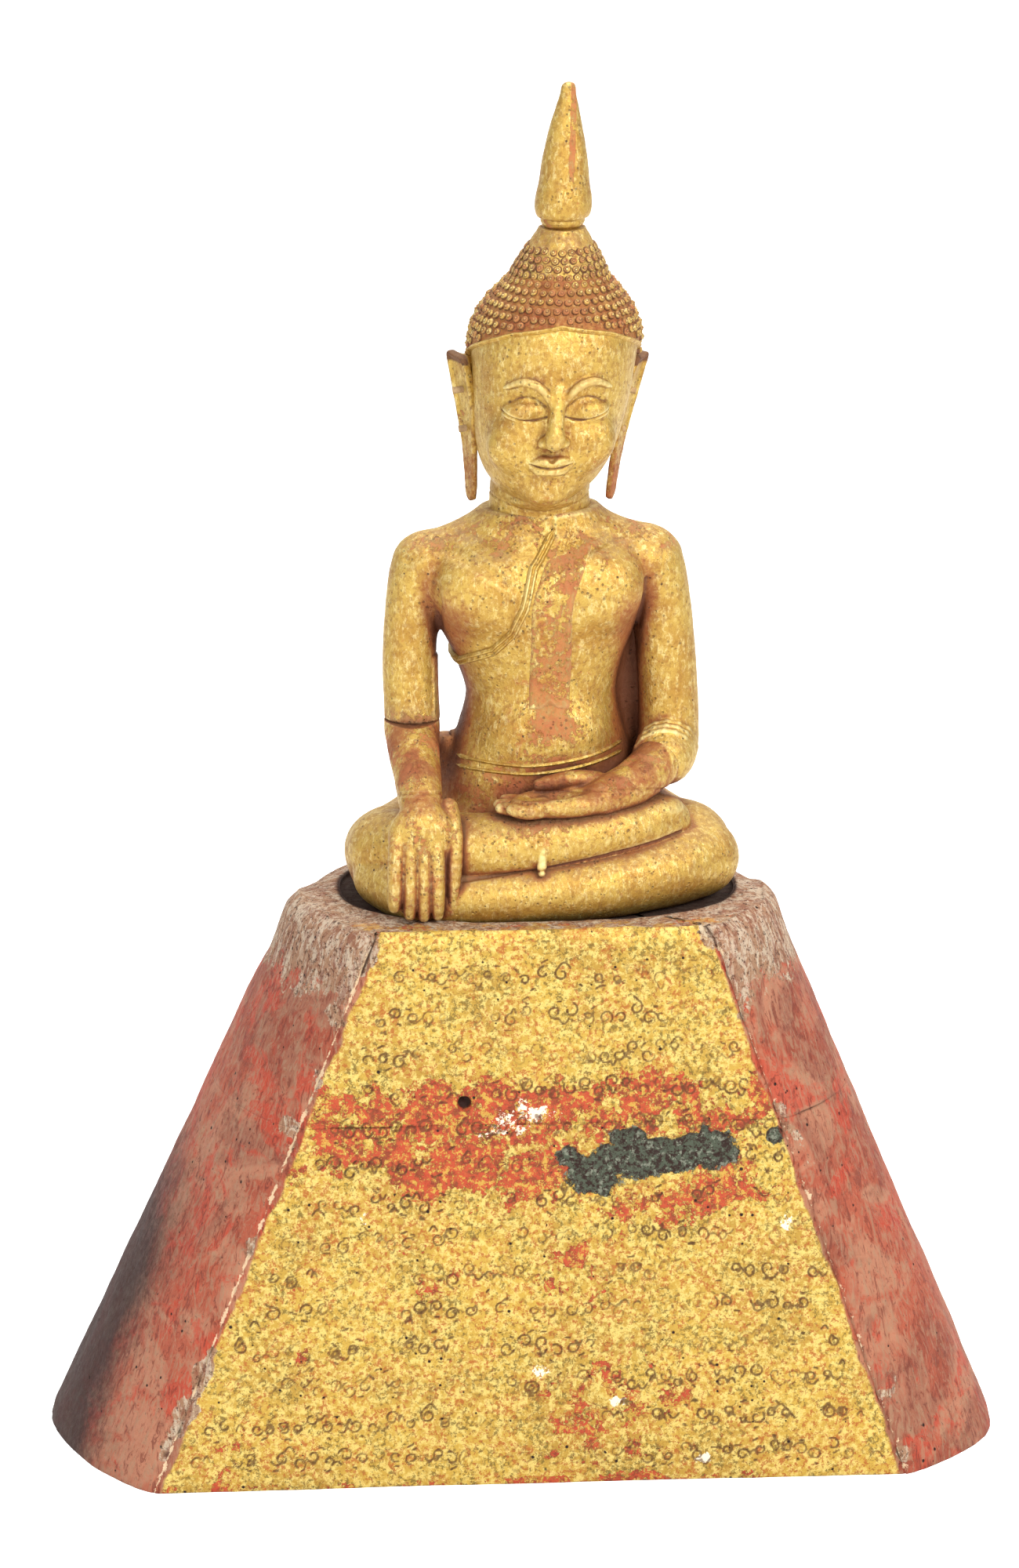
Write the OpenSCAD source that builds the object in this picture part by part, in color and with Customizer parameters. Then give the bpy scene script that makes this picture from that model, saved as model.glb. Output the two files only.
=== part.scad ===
/* [Pedestal] */
// Width across the rounded sides at the bottom
ped_bottom_w = 348; // [300:1:430]
// Width across the rounded sides at the top
ped_top_w = 170; // [156:1:215]
// Depth at the bottom
ped_bottom_d = 154; // [128:1:190]
// Depth at the top
ped_top_d = 120; // [104:1:126]
// Height of the pedestal
ped_h = 205; // [180:1:260]
// Width of the flat gilded front face at the bottom
face_bottom_w = 274; // [220:1:284]
// Width of the flat gilded front face at the top
face_top_w = 120; // [100:1:130]
// Sideways drift of the top over the bottom
ped_drift = 5.5; // [-10:0.5:10]
// Height of the glue line between the two stacked timbers
tier_z = 134; // [125:1:160]
// Wall left round the hollow chamber
ped_wall = 28; // [24:1:34]
// Height of the chamber roof above the ground
chamber_z = 100; // [60:1:104]
// Radius on the worn top edge
edge_round = 3; // [1:0.5:5]

/* [Base board] */
// Thickness of the board that closes the chamber
board_t = 9; // [6:0.5:14]
// Width of the ledge that the board is pegged to
board_ledge = 14; // [11:0.5:16]
// Gap round the board
board_gap = 0.4; // [0.2:0.1:1]

/* [Pegs and dowels] */
// Diameter of the dowels between the two timbers
tier_dowel_d = 14; // [8:0.5:18]
// Length of the dowels between the two timbers
tier_dowel_l = 40; // [24:1:48]
// Distance of the outer timber dowels from the middle
tier_dowel_x = 62; // [40:1:75]
// Diameter of the pegs in the base board
board_peg_d = 5; // [3:0.5:7]
// Length of the pegs in the base board
board_peg_l = 24; // [16:1:34]
// Diameter of the two dowels under the figure
seat_dowel_d = 10; // [6:0.5:12]
// Length of the two dowels under the figure
seat_dowel_l = 36; // [24:1:40]
// How far the dowels under the figure go down into the pedestal
seat_dowel_down = 18; // [10:1:20]
// Distance of each dowel under the figure from its middle
seat_dowel_x = 30; // [15:1:40]
// Diameter of the dowel in the neck
neck_dowel_d = 11; // [6:0.5:14]
// Length of the dowel in the neck
neck_dowel_l = 40; // [24:1:48]
// Diameter of the pegs in the forearms
arm_peg_d = 5; // [3:0.5:7]
// Length of the pegs in the forearms
arm_peg_l = 18; // [10:1:22]
// Diameter of the pegs behind the ears
ear_peg_d = 2.4; // [1.5:0.1:3]
// Length of the pegs behind the ears
ear_peg_l = 11; // [8:0.5:14]
// Diameter of the peg under the finial
finial_peg_d = 6; // [4:0.5:8]
// Length of the peg under the finial
finial_peg_l = 27; // [18:1:34]
// Radial gap of a peg that stays in its hole
tight_gap = 0.03; // [0.02:0.01:0.05]
// Radial gap of a peg that lifts out of its hole
slip_gap = 0.1; // [0.05:0.01:0.2]

/* [Seat] */
// Depth of the recess that the figure stands in
recess_depth = 3; // [1:0.5:6]
// Gap between the figure and the recess wall
recess_gap = 1.4; // [0.5:0.1:2.5]
// Place of the figure across the pedestal
figure_x = 7; // [-5:0.5:10]

/* [Figure] */
// Width across the knees
knee_w = 141; // [124:1:150]
// Depth of the crossed legs
leg_d = 88; // [78:1:94]
// Height of the crossed legs
leg_h = 40; // [34:1:46]
// Width of the hips
hip_w = 68; // [60:1:76]
// Width of the waist
waist_w = 54; // [44:1:58]
// Height of the waist
waist_z = 74; // [66:1:80]
// Width of the chest between the arms
chest_w = 78; // [70:1:84]
// Thickness of the chest, front to back
chest_d = 50; // [40:1:58]
// Height of the armpits
armpit_z = 114; // [106:1:118]
// Height of the flat shoulder top that carries the neck
shoulder_z = 140; // [132:1:150]
// Distance from the middle to the centre of an upper arm
arm_x = 46; // [44:1:52]
// Thickness of an upper arm
arm_t = 20; // [16:1:22]
// Height of the splice in the straight arm
splice_z = 66; // [60:1:72]

/* [Head] */
// Width of the neck
neck_w = 37; // [30:1:42]
// Width of the head across the hair
head_w = 62; // [56:1:70]
// Depth of the head, front to back
head_d = 62; // [56:1:72]
// Height from the shoulder top to the flat on top of the hair
head_h = 106; // [90:1:120]
// Sideways lean of the head
head_lean = 5; // [-6:0.5:8]
// Width of the flat that the finial stands on
crown_w = 15; // [12:0.5:22]
// Sideways lean of the crown and finial
crown_lean = 9; // [-8:0.5:10]
// Diameter of a hair curl
curl_d = 3.6; // [2.4:0.1:3.8]
// Rows of hair curls
curl_rows = 6; // [3:1:6]
// Height of an ear plate
ear_h = 55; // [44:1:60]
// Width of an ear plate, front to back
ear_w = 15; // [10:1:18]
// Thickness of an ear plate
ear_t = 3.4; // [2.4:0.2:5]

/* [Finial] */
// Height of the finial
finial_h = 51; // [36:1:66]
// Widest diameter of the finial
finial_d = 20.5; // [17:0.5:26]
// Sideways tilt of the finial
finial_tilt = 2.5; // [0:0.5:4]

/* [Raised lacquer lines] */
// Diameter of a raised lacquer line
line_d = 2.2; // [1.4:0.1:3]
// Width of the shoulder sash
sash_w = 13; // [8:1:16]
// Thickness of the shoulder sash
sash_t = 2; // [1.2:0.2:3]

/* [Hidden] */

// Smoothness
$fn = 48;
ring_n = 32;
limb_n = 16;
head_n = 40;
cut = 1; // how far a cutter stands past the face it cuts
seat_z = ped_h - recess_depth;
head_z = seat_z + shoulder_z;
finial_z = head_z + head_h;
finial_x = figure_x + crown_lean;

// Colours
gold = "#d2a842";
old_gold = "#b58a35";
red_lacquer = "#a8564a";
bare_wood = "#8a6f56";
pale_wood = "#b79a78";

// ---- Shared shapes ----

// A smooth curve through rows of numbers: u counts rows from the first
function row_at(rows, i) = rows[max(0, min(len(rows) - 1, i))];
function smooth(rows, u) =
    let (
        i = min(floor(u), len(rows) - 2),
        t = u - i,
        a = row_at(rows, i - 1),
        b = row_at(rows, i),
        c = row_at(rows, i + 1),
        d = row_at(rows, i + 2)
    )
    (2 * b + (c - a) * t + (2 * a - 5 * b + 4 * c - d) * t * t + (3 * b - a - 3 * c + d) * t * t * t) / 2;
function resampled(rows, steps) =
    [for (k = [0 : steps * (len(rows) - 1)]) smooth(rows, k / steps)];

// A power that keeps its sign, which squares an oval off
function bent(v, p) = sign(v) * pow(abs(v), 2 / p);

// Level oval from a row of [z, x centre, y centre, x radius, y radius, squareness]
function oval(row, n) = [
    for (i = [0 : n - 1])
        let (a = 360 * i / n)
        [row[1] + row[3] * bent(cos(a), row[5]), row[2] + row[4] * bent(sin(a), row[5]), row[0]]
];

function unit(v) = v / norm(v);

// Ring across a path at a row of [x, y, z, side radius, other radius]
function ring_across(row, along, side, n) =
    let (s = unit(side - (side * along) * along), f = cross(along, s))
    [for (i = [0 : n - 1])
        let (a = 360 * i / n)
        [row[0], row[1], row[2]] + s * row[3] * cos(a) + f * row[4] * sin(a)];
function place(row) = [row[0], row[1], row[2]];
function limb_rings(rows, side, n) = [
    for (k = [0 : len(rows) - 1])
        let (along = unit(place(row_at(rows, k + 1)) - place(row_at(rows, k - 1))))
        ring_across(rows[k], along, side, n)
];

// Closed skin over a list of rings
module skin(rings) {
    n = len(rings[0]);
    last = len(rings) - 1;
    sides = [
        for (k = [0 : last - 1], i = [0 : n - 1])
            let (j = (i + 1) % n, a = k * n, b = a + n)
            each [[a + i, b + i, a + j], [a + j, b + i, b + j]]
    ];
    floor_fan = [for (i = [1 : n - 2]) [0, i, i + 1]];
    roof_fan = [for (i = [1 : n - 2]) [last * n, last * n + i + 1, last * n + i]];
    polyhedron(points = [for (r = rings) each r], faces = concat(sides, floor_fan, roof_fan));
}

module limb(rows, side = [1, 0, 0], steps = 3, n = limb_n) {
    skin(limb_rings(resampled(rows, steps), side, n));
}

module at_figure() {
    translate([figure_x, 0, seat_z]) children();
}

// ---- Pedestal ----

// Half sizes of the log-like plan at a height: [half width, half face, half depth, middle]
function plan(z) =
    let (t = z / ped_h)
    [
        (ped_bottom_w + (ped_top_w - ped_bottom_w) * t) / 2,
        (face_bottom_w + (face_top_w - face_bottom_w) * t) / 2,
        (ped_bottom_d + (ped_top_d - ped_bottom_d) * t) / 2,
        ped_drift * t
    ];
side_steps = 14;
// One rounded side is an arc that bulges past the flat faces, shrunk by an inset
function side_arc(p, inset, right) =
    let (
        hw = p[0] - inset,
        hf = p[1] - inset * 0.6,
        hd = p[2] - inset,
        bulge = hw - hf,
        r = (bulge * bulge + hd * hd) / (2 * bulge),
        half = asin(hd / r)
    )
    [for (i = [0 : side_steps])
        let (a = half * (2 * i / side_steps - 1), s = right ? 1 : -1)
        [p[3] + s * (hw - r + r * cos(a)), s * r * sin(a)]];
function plan_outline(z, inset) = concat(side_arc(plan(z), inset, true), side_arc(plan(z), inset, false));
function plan_ring(z, inset) = [for (q = plan_outline(z, inset)) [q[0], q[1], z]];

module plan_prism(z, inset, h) {
    linear_extrude(h) polygon(plan_outline(z, inset));
}

tier_dowels_x = [-tier_dowel_x, 0, tier_dowel_x];
board_pegs_x = [-ped_bottom_w * 0.27, 0, ped_bottom_w * 0.27];
board_peg_y = ped_bottom_d / 2 - ped_wall + board_ledge / 2;

module at_tier_dowels() {
    for (x = tier_dowels_x) translate([x + ped_drift * tier_z / ped_h, 0, tier_z]) children();
}
module at_board_pegs() {
    for (x = board_pegs_x, s = [-1, 1]) translate([x, s * board_peg_y, 0]) children();
}
module at_seat_dowels() {
    for (s = [-1, 1]) translate([s * seat_dowel_x, 0, 0]) children();
}

module pedestal_lower_block() {
    color(red_lacquer)
    difference() {
        skin([plan_ring(0, 0), plan_ring(tier_z, 0)]);
        skin([plan_ring(board_t, ped_wall), plan_ring(chamber_z, ped_wall)]);
        translate([0, 0, -cut]) plan_prism(0, ped_wall - board_ledge, board_t + cut);
        at_board_pegs() cylinder(d = board_peg_d + 2 * tight_gap, h = board_peg_l + cut);
        at_tier_dowels() cylinder(d = tier_dowel_d + 2 * tight_gap, h = tier_dowel_l + cut, center = true);
    }
}

module pedestal_upper_block() {
    color(red_lacquer)
    difference() {
        skin([plan_ring(tier_z, 0), plan_ring(ped_h - edge_round, 0), plan_ring(ped_h, edge_round * 0.7)]);
        at_tier_dowels() cylinder(d = tier_dowel_d + 2 * tight_gap, h = tier_dowel_l + cut, center = true);
        at_figure() {
            linear_extrude(recess_depth + cut) polygon(seat_outline(recess_gap));
            at_seat_dowels()
                translate([0, 0, -seat_dowel_down - cut])
                    cylinder(d = seat_dowel_d + 2 * slip_gap, h = seat_dowel_down + 2 * cut);
        }
    }
}

module tier_dowels() {
    color(pale_wood)
    at_tier_dowels() cylinder(d = tier_dowel_d, h = tier_dowel_l, center = true);
}

module base_board() {
    color(bare_wood)
    difference() {
        plan_prism(0, ped_wall - board_ledge + board_gap, board_t);
        at_board_pegs()
            translate([0, 0, -cut]) cylinder(d = board_peg_d + 2 * tight_gap, h = board_t + 2 * cut);
    }
}

module base_board_pegs() {
    color(pale_wood)
    at_board_pegs() cylinder(d = board_peg_d, h = board_peg_l);
}

// ---- Figure ----

leg_r = knee_w / 2;
leg_y = leg_d / 2;
// Crossed legs, from the seat up: [z, x, y, x radius, y radius, squareness]
leg_rows = [
    [0, 0, 0, leg_r - 4, leg_y - 4, 2.5],
    [leg_h * 0.15, 0, 0, leg_r - 1, leg_y - 1, 2.5],
    [leg_h * 0.4, 0, 0, leg_r, leg_y, 2.4],
    [leg_h * 0.62, 0, 1, leg_r - 3.5, leg_y - 2, 2.3],
    [leg_h * 0.82, 0, 2, leg_r - 10, leg_y - 6, 2.2],
    [leg_h, 0, 3, leg_r - 22, leg_y - 12, 2.1],
    [leg_h + 4, 0, 4, leg_r - 40, leg_y - 20, 2]
];
// Trunk, from inside the legs up to the flat shoulder top
trunk_rows = [
    [leg_h * 0.7, 0, 2, hip_w / 2 + 2, 28, 2.3],
    [leg_h + 5, 0, 3, hip_w / 2, 26, 2.2],
    [(leg_h + waist_z) / 2 + 2, 0, 4, (hip_w + waist_w) / 4, 23, 2.1],
    [waist_z, 0, 4, waist_w / 2, 21, 2.1],
    [(waist_z + armpit_z) / 2, 0, 3, (waist_w + chest_w) / 4 - 1, chest_d / 2 - 2, 2.2],
    [armpit_z - 4, 0, 1, chest_w / 2 - 1, chest_d / 2, 2.3],
    [armpit_z + 7, 0, 1, chest_w / 2 + 2, chest_d / 2 - 1, 2.3],
    [shoulder_z - 10, 0, 2, chest_w / 2 - 1, chest_d / 2 - 5, 2.1],
    [shoulder_z - 4, 0, 3, chest_w / 2 - 10, chest_d / 2 - 7, 2],
    [shoulder_z, 0, 3, neck_w / 2 + 3, chest_d / 2 - 8, 2]
];
splice_lap = 6; // how far each arm form runs past the level splice before it is cut
// Straight arm on the figure's own right, from the shoulder down to the splice
right_arm_rows = [
    [-neck_w / 2 - 2, 3, shoulder_z - 13, 9, 13],
    [-neck_w / 2 - 13, 3, shoulder_z - 17, 12, 13.5],
    [-arm_x + 4, 3, shoulder_z - 22, 13, 13.5],
    [-arm_x, 3, armpit_z - 8, arm_t / 2, 12],
    [-arm_x, 3, waist_z + 12, arm_t / 2, 11],
    [-arm_x + 1, 1, splice_z, arm_t / 2, 10],
    [-arm_x + 1, -2, splice_z - splice_lap, arm_t / 2, 10]
];
// Bent arm on the figure's own left, from the shoulder down to the elbow
elbow = [arm_x + 1, 2, waist_z - 14];
left_arm_rows = [
    [neck_w / 2 + 2, 3, shoulder_z - 13, 9, 13],
    [neck_w / 2 + 13, 3, shoulder_z - 17, 12, 13.5],
    [arm_x - 3, 3, shoulder_z - 22, 13, 13.5],
    [arm_x + 1, 3, armpit_z - 8, arm_t / 2, 12],
    [arm_x + 2, 3, waist_z + 8, arm_t / 2, 12],
    [elbow[0], elbow[1], elbow[2], arm_t / 2, 12],
    [elbow[0] - 2, elbow[1] - 4, elbow[2] - 9, arm_t / 2 - 3, 8]
];
// Shins that cross in front, one above the other
lower_shin_rows = [
    [leg_r - 14, -leg_y * 0.35, leg_h * 0.32, 11, 10],
    [leg_r * 0.3, -leg_y + 11, leg_h * 0.27, 10, 9],
    [-leg_r * 0.3, -leg_y + 11, leg_h * 0.27, 10, 9],
    [-leg_r + 18, -leg_y * 0.4, leg_h * 0.3, 10, 9]
];
upper_shin_rows = [
    [-leg_r + 16, -leg_y * 0.3, leg_h * 0.62, 12, 11],
    [-leg_r * 0.35, -leg_y + 15, leg_h * 0.72, 10, 9],
    [leg_r * 0.2, -leg_y + 16, leg_h * 0.8, 9, 8],
    [leg_r - 24, -leg_y * 0.35, leg_h * 0.82, 9, 8]
];
// Right forearm and hand, from the splice down over the shin
right_forearm_rows = [
    [-arm_x + 1, 3, splice_z + splice_lap, arm_t / 2, 10],
    [-arm_x + 1, 0, splice_z - 1, arm_t / 2, 10],
    [-arm_x + 1, -13, splice_z - 11, arm_t / 2 - 1, 9],
    [-arm_x + 1, -30, leg_h + 10, arm_t / 2, 7],
    [-arm_x + 1, -leg_y + 1, leg_h + 1, arm_t / 2 + 1, 5.5],
    [-arm_x + 2, -leg_y - 3, leg_h * 0.6, arm_t / 2 + 1.5, 4],
    [-arm_x + 2, -leg_y - 3.5, leg_h * 0.3, arm_t / 2 + 1, 3.5],
    [-arm_x + 2, -leg_y - 3, recess_depth + 2, arm_t / 2 - 1, 2.5]
];
// Left forearm and open hand, from the elbow across the lap
left_forearm_rows = [
    [elbow[0] - 3, -13, leg_h + 14, 10, 9.5],
    [elbow[0] - 12, -25, leg_h + 9, 9, 8],
    [elbow[0] - 26, -33, leg_h + 5, 8, 7],
    [elbow[0] - 40, -35, leg_h + 3, 9, 5],
    [elbow[0] - 54, -35, leg_h + 3, 9, 4],
    [elbow[0] - 64, -34, leg_h + 3, 6, 3]
];

function seat_outline(gap) = [
    for (q = oval([0, 0, 0, leg_r + gap, leg_y + gap, leg_rows[0][5]], 2 * ring_n)) [q[0], q[1]]
];

neck_seat = [0, 3, shoulder_z];
right_peg_at = [-arm_x + 1, 0, splice_z];
left_peg_at = [elbow[0] - 3, -13, leg_h + 14];
left_peg_along = unit([3, 12, 8]);

// Room above or below the level splice, used to cut each arm form off square
module splice_side(up) {
    translate([-arm_x + 1 - arm_t, -arm_t, up ? splice_z : splice_z - 3 * splice_lap])
        cube([2 * arm_t, 2 * arm_t, 3 * splice_lap]);
}
module right_forearm_form() {
    difference() {
        limb(right_forearm_rows);
        splice_side(true);
    }
}
module left_forearm_form() {
    limb(left_forearm_rows, side = [0, -1, 0.2]);
}
module turned_to(v) {
    rotate([0, acos(v[2]), atan2(v[1], v[0])]) children();
}
module arm_peg_at(at, along, gap) {
    translate(at)
        turned_to(along)
            cylinder(d = arm_peg_d + 2 * gap, h = arm_peg_l + (gap == tight_gap ? 2 : 0), center = true);
}

// Wall left standing between the trunk and the bent arm, set back from the front
web_t = 5; // thickness of the wall
web_y = 7; // how far behind the middle it stands
web_root = 8; // how deep it starts inside the waist
module arm_web() {
    translate([waist_w / 2 - web_root, web_y - web_t / 2, leg_h])
        cube([elbow[0] - waist_w / 2 + web_root, web_t, armpit_z - leg_h]);
}

// The trunk, legs and upper arms as one carved surface as wide as the knees
module carved_form() {
    resize([knee_w, 0, 0])
    difference() {
        union() {
            skin([for (r = resampled(leg_rows, 2)) oval(r, ring_n)]);
            skin([for (r = resampled(trunk_rows, 2)) oval(r, ring_n)]);
            difference() {
                limb(right_arm_rows);
                splice_side(false);
            }
            limb(left_arm_rows);
            arm_web();
            limb(lower_shin_rows, side = [0, 0, 1]);
            limb(upper_shin_rows, side = [0, 0, 1]);
        }
        right_forearm_form();
        left_forearm_form();
        robe_edge_form();
        waist_line_form();
        sash_form();
        translate([0, 0, shoulder_z]) linear_extrude(2 * arm_t) square(knee_w, center = true);
    }
}

module figure_body() {
    color(gold)
    at_figure()
    difference() {
        carved_form();
        at_seat_dowels()
            translate([0, 0, -cut])
                cylinder(d = seat_dowel_d + 2 * tight_gap, h = seat_dowel_l - seat_dowel_down + 2 * cut);
        translate(neck_seat)
            cylinder(d = neck_dowel_d + 2 * tight_gap, h = neck_dowel_l + 2 * cut, center = true);
        arm_peg_at(right_peg_at, [0, 0, 1], tight_gap);
        arm_peg_at(left_peg_at, left_peg_along, tight_gap);
    }
}

module right_forearm() {
    color(old_gold)
    at_figure()
    difference() {
        right_forearm_form();
        arm_peg_at(right_peg_at, [0, 0, 1], tight_gap);
    }
}

module left_forearm() {
    color(old_gold)
    at_figure()
    difference() {
        left_forearm_form();
        arm_peg_at(left_peg_at, left_peg_along, tight_gap);
    }
}

module forearm_pegs() {
    color(pale_wood)
    at_figure() {
        arm_peg_at(right_peg_at, [0, 0, 1], 0);
        arm_peg_at(left_peg_at, left_peg_along, 0);
    }
}

module seat_dowels() {
    color(pale_wood)
    at_figure()
    at_seat_dowels()
        translate([0, 0, -seat_dowel_down]) cylinder(d = seat_dowel_d, h = seat_dowel_l);
}

module neck_dowel() {
    color(pale_wood)
    at_figure()
    translate(neck_seat) cylinder(d = neck_dowel_d, h = neck_dowel_l, center = true);
}

// ---- Raised lacquer lines on the trunk ----

// Place in a list of rows, as a row count, of the height z
function row_for(rows, z) = lookup(z, [for (i = [0 : len(rows) - 1]) [rows[i][0], i]]);
// Point on the skin of a lofted form at a height and an angle, moved out by a distance
function on_skin(rows, z, a, out) =
    let (r = smooth(rows, row_for(rows, z)))
    [r[1] + (r[3] + out) * bent(cos(a), r[5]), r[2] + (r[4] + out) * bent(sin(a), r[5]), r[0]];

// Edge of the robe that leaves one shoulder bare, as [height, angle], front to back
robe_edge = [
    [shoulder_z - 5, 284], [shoulder_z - 14, 266], [armpit_z, 261], [armpit_z - 11, 254],
    [armpit_z - 19, 238], [armpit_z - 24, 206], [armpit_z - 24, 172], [armpit_z - 18, 138],
    [armpit_z - 6, 112], [armpit_z + 6, 90], [shoulder_z - 12, 72], [shoulder_z - 6, 60]
];
robe_edge_rows = [
    for (p = resampled(robe_edge, 3))
        let (q = on_skin(trunk_rows, p[0], p[1], 0.2)) [q[0], q[1], q[2], line_d / 2, line_d / 2]
];
waist_line_z = leg_h + 13;
waist_line_rows = [
    for (a = [60 : 12 : 408])
        let (q = on_skin(trunk_rows, waist_line_z, a, 0.2)) [q[0], q[1], q[2], line_d / 2, line_d / 2]
];
line_n = 8;

// Shoulder sash: a strip laid on the chest, from under the collar down to a notched end
sash_x = 3;
sash_top = shoulder_z - 22;
sash_end = waist_z;
sash_columns = 6;
sash_steps = 12;
function sash_side(z, out, dir) = [
    for (k = [0 : sash_columns])
        let (
            x = sash_x + dir * sash_w * (k / sash_columns - 0.5),
            r = smooth(trunk_rows, row_for(trunk_rows, z)),
            y = r[2] - (r[4] + out) * pow(1 - pow(abs(x / r[3]), r[5]), 1 / r[5])
        )
        [x, y, r[0]]
];
sash_rings = [
    for (k = [0 : sash_steps])
        let (z = sash_end + (sash_top - sash_end) * k / sash_steps)
        concat(sash_side(z, sash_t - 0.6, 1), sash_side(z, -0.6, -1))
];

module robe_edge_form() {
    limb(robe_edge_rows, side = [0, 0, 1], steps = 1, n = line_n);
}
module waist_line_form() {
    limb(waist_line_rows, side = [0, 0, 1], steps = 1, n = line_n);
}
module sash_form() {
    difference() {
        skin(sash_rings);
        robe_edge_form();
    }
}

module robe_edge_line() {
    color(gold)
    at_figure() robe_edge_form();
}
module waist_line() {
    color(gold)
    at_figure() waist_line_form();
}
module shoulder_sash() {
    color(gold)
    at_figure() sash_form();
}

// ---- Head ----

function lean_at(t) = head_lean * min(1, t * 2.2) + (crown_lean - head_lean) * max(0, t - 0.45) / 0.55;
function head_row(t, y, rx, ry, p) = [t * head_h, lean_at(t), y, rx, ry, p];
side_r = head_w / 2;
front_r = head_d / 2;
// From the neck seat up to the flat of the crown
head_rows = [
    head_row(0, 3, neck_w / 2 + 0.5, 17, 2),
    head_row(0.075, 2, neck_w / 2 - 0.5, 16.5, 2),
    head_row(0.115, 0, neck_w / 2 + 1, 20, 2),
    head_row(0.16, -1, side_r - 9.5, front_r - 6, 2.1),
    head_row(0.25, -1, side_r - 6.3, front_r - 3, 2.1),
    head_row(0.38, -1, side_r - 3.6, front_r - 1.5, 2.2),
    head_row(0.51, 0, side_r - 1.7, front_r - 0.6, 2.2),
    head_row(0.62, 0, side_r - 0.6, front_r - 0.2, 2.2),
    head_row(0.7, 1, side_r - 0.8, front_r - 0.8, 2.1),
    head_row(0.765, 1, side_r - 4.6, front_r - 4.6, 2),
    head_row(0.82, 1, side_r - 10.6, front_r - 10.6, 2),
    head_row(0.87, 1, side_r - 15, front_r - 15, 2),
    head_row(0.925, 1, side_r - 19, front_r - 19, 2),
    head_row(1, 1, crown_w / 2, crown_w / 2, 2)
];
// A plain generic nose and mouth, raised from the front of the face
nose_z = 0.34 * head_h;
mouth_z = 0.235 * head_h;
function swell(v, width) = exp(-v * v / (width * width));
function face_relief(z, x) =
    5 * swell(z - nose_z, 6) * swell(x, 4) + 2.5 * swell(z - nose_z - 9, 8) * swell(x, 3)
    + 1.6 * swell(z - mouth_z, 2.2) * swell(x, 7);
function with_face(ring, lean) = [
    for (q = ring) [q[0], q[1] < -10 ? q[1] - face_relief(q[2], q[0] - lean) : q[1], q[2]]
];

module at_head() {
    translate([figure_x, 0, head_z]) children();
}

module head_form() {
    skin([for (r = resampled(head_rows, 3)) with_face(oval(r, head_n), r[1])]);
}

ear_z = 0.055 * head_h;
ear_foot_x = neck_w / 2 + 2.6;
// Ears spread from the neck to the sides of the head, and lean with it
ear_stand = 1.5;
ear_tilt = atan((side_r + ear_stand - ear_foot_x) / ear_h);
ear_lean = atan((lean_at(0.45) - lean_at(0)) / (0.45 * head_h)) / 2;
// Outline of an ear plate, as [front to back, height], with a pointed top and a long lobe
ear_outline = [
    [-0.1, 0.02], [0.1, 0], [0.26, 0.05], [0.3, 0.25], [0.42, 0.5], [0.58, 0.78],
    [0.6, 0.98], [0.4, 1.0], [0.05, 0.93], [-0.3, 0.8], [-0.4, 0.62], [-0.3, 0.42],
    [-0.2, 0.2], [-0.18, 0.08]
];
// Outline of the root that joins the plate to the head
ear_root_outline = [[-0.2, 0.42], [0.26, 0.42], [0.36, 0.6], [0.3, 0.86], [-0.1, 0.8], [-0.26, 0.6]];
ear_root_depth = 5;
ear_pegs_z = [0.5, 0.76];

module at_ear(s) {
    at_head()
    translate([lean_at(ear_z / head_h) + s * ear_foot_x, 2, ear_z])
        rotate([0, s * ear_tilt + ear_lean, 0])
            children();
}
// A slab with an outline as seen from the side, from a depth inside the plate's inner face
module ear_slab(s, outline, inside) {
    rotate([90, 0, 90])
        translate([0, 0, s > 0 ? -inside : -ear_t])
            linear_extrude(ear_t + inside)
                polygon([for (q = outline) [q[0] * ear_w, q[1] * ear_h]]);
}
// Undoes at_ear and at_head, so that the head can be cut out of an ear
module head_from_ear(s) {
    rotate([0, -(s * ear_tilt + ear_lean), 0])
        translate(-[lean_at(ear_z / head_h) + s * ear_foot_x, 2, ear_z])
            children();
}
module ear_plate(s) {
    difference() {
        resize([0, 0, ear_h])
        difference() {
            union() {
                ear_slab(s, ear_outline, 0);
                ear_slab(s, ear_root_outline, ear_root_depth);
            }
            head_from_ear(s) head_form();
        }
        ear_peg_set(s, tight_gap);
    }
}
module ear_peg_set(s, gap) {
    for (t = ear_pegs_z)
        translate([s * ear_t, 0, t * ear_h])
            rotate([0, -s * 90, 0])
                translate([0, 0, gap > 0 ? -cut : 0])
                    cylinder(d = ear_peg_d + 2 * gap, h = ear_peg_l + (gap > 0 ? 1.5 * cut : 0));
}

module head() {
    color(gold)
    difference() {
        at_head() carved_head();
        at_head() translate(neck_seat - [0, 0, shoulder_z])
            cylinder(d = neck_dowel_d + 2 * tight_gap, h = neck_dowel_l + 2 * cut, center = true);
        at_head() translate([crown_lean, 1, head_h - finial_peg_down - cut])
            cylinder(d = finial_peg_d + 2 * slip_gap, h = finial_peg_down + 2 * cut);
        at_ear(1) ear_peg_set(1, tight_gap);
        at_ear(-1) ear_peg_set(-1, tight_gap);
    }
}
// The head as one surface, with the groove that the hairline band is bedded in
module carved_head() {
    resize([0, 0, head_h])
    difference() {
        head_form();
        hairline_form();
    }
}
module right_ear() {
    color(gold)
    at_ear(-1) ear_plate(-1);
}
module left_ear() {
    color(gold)
    at_ear(1) ear_plate(1);
}
module ear_pegs() {
    color(pale_wood)
    for (s = [-1, 1]) at_ear(s) ear_peg_set(s, 0);
}

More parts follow.
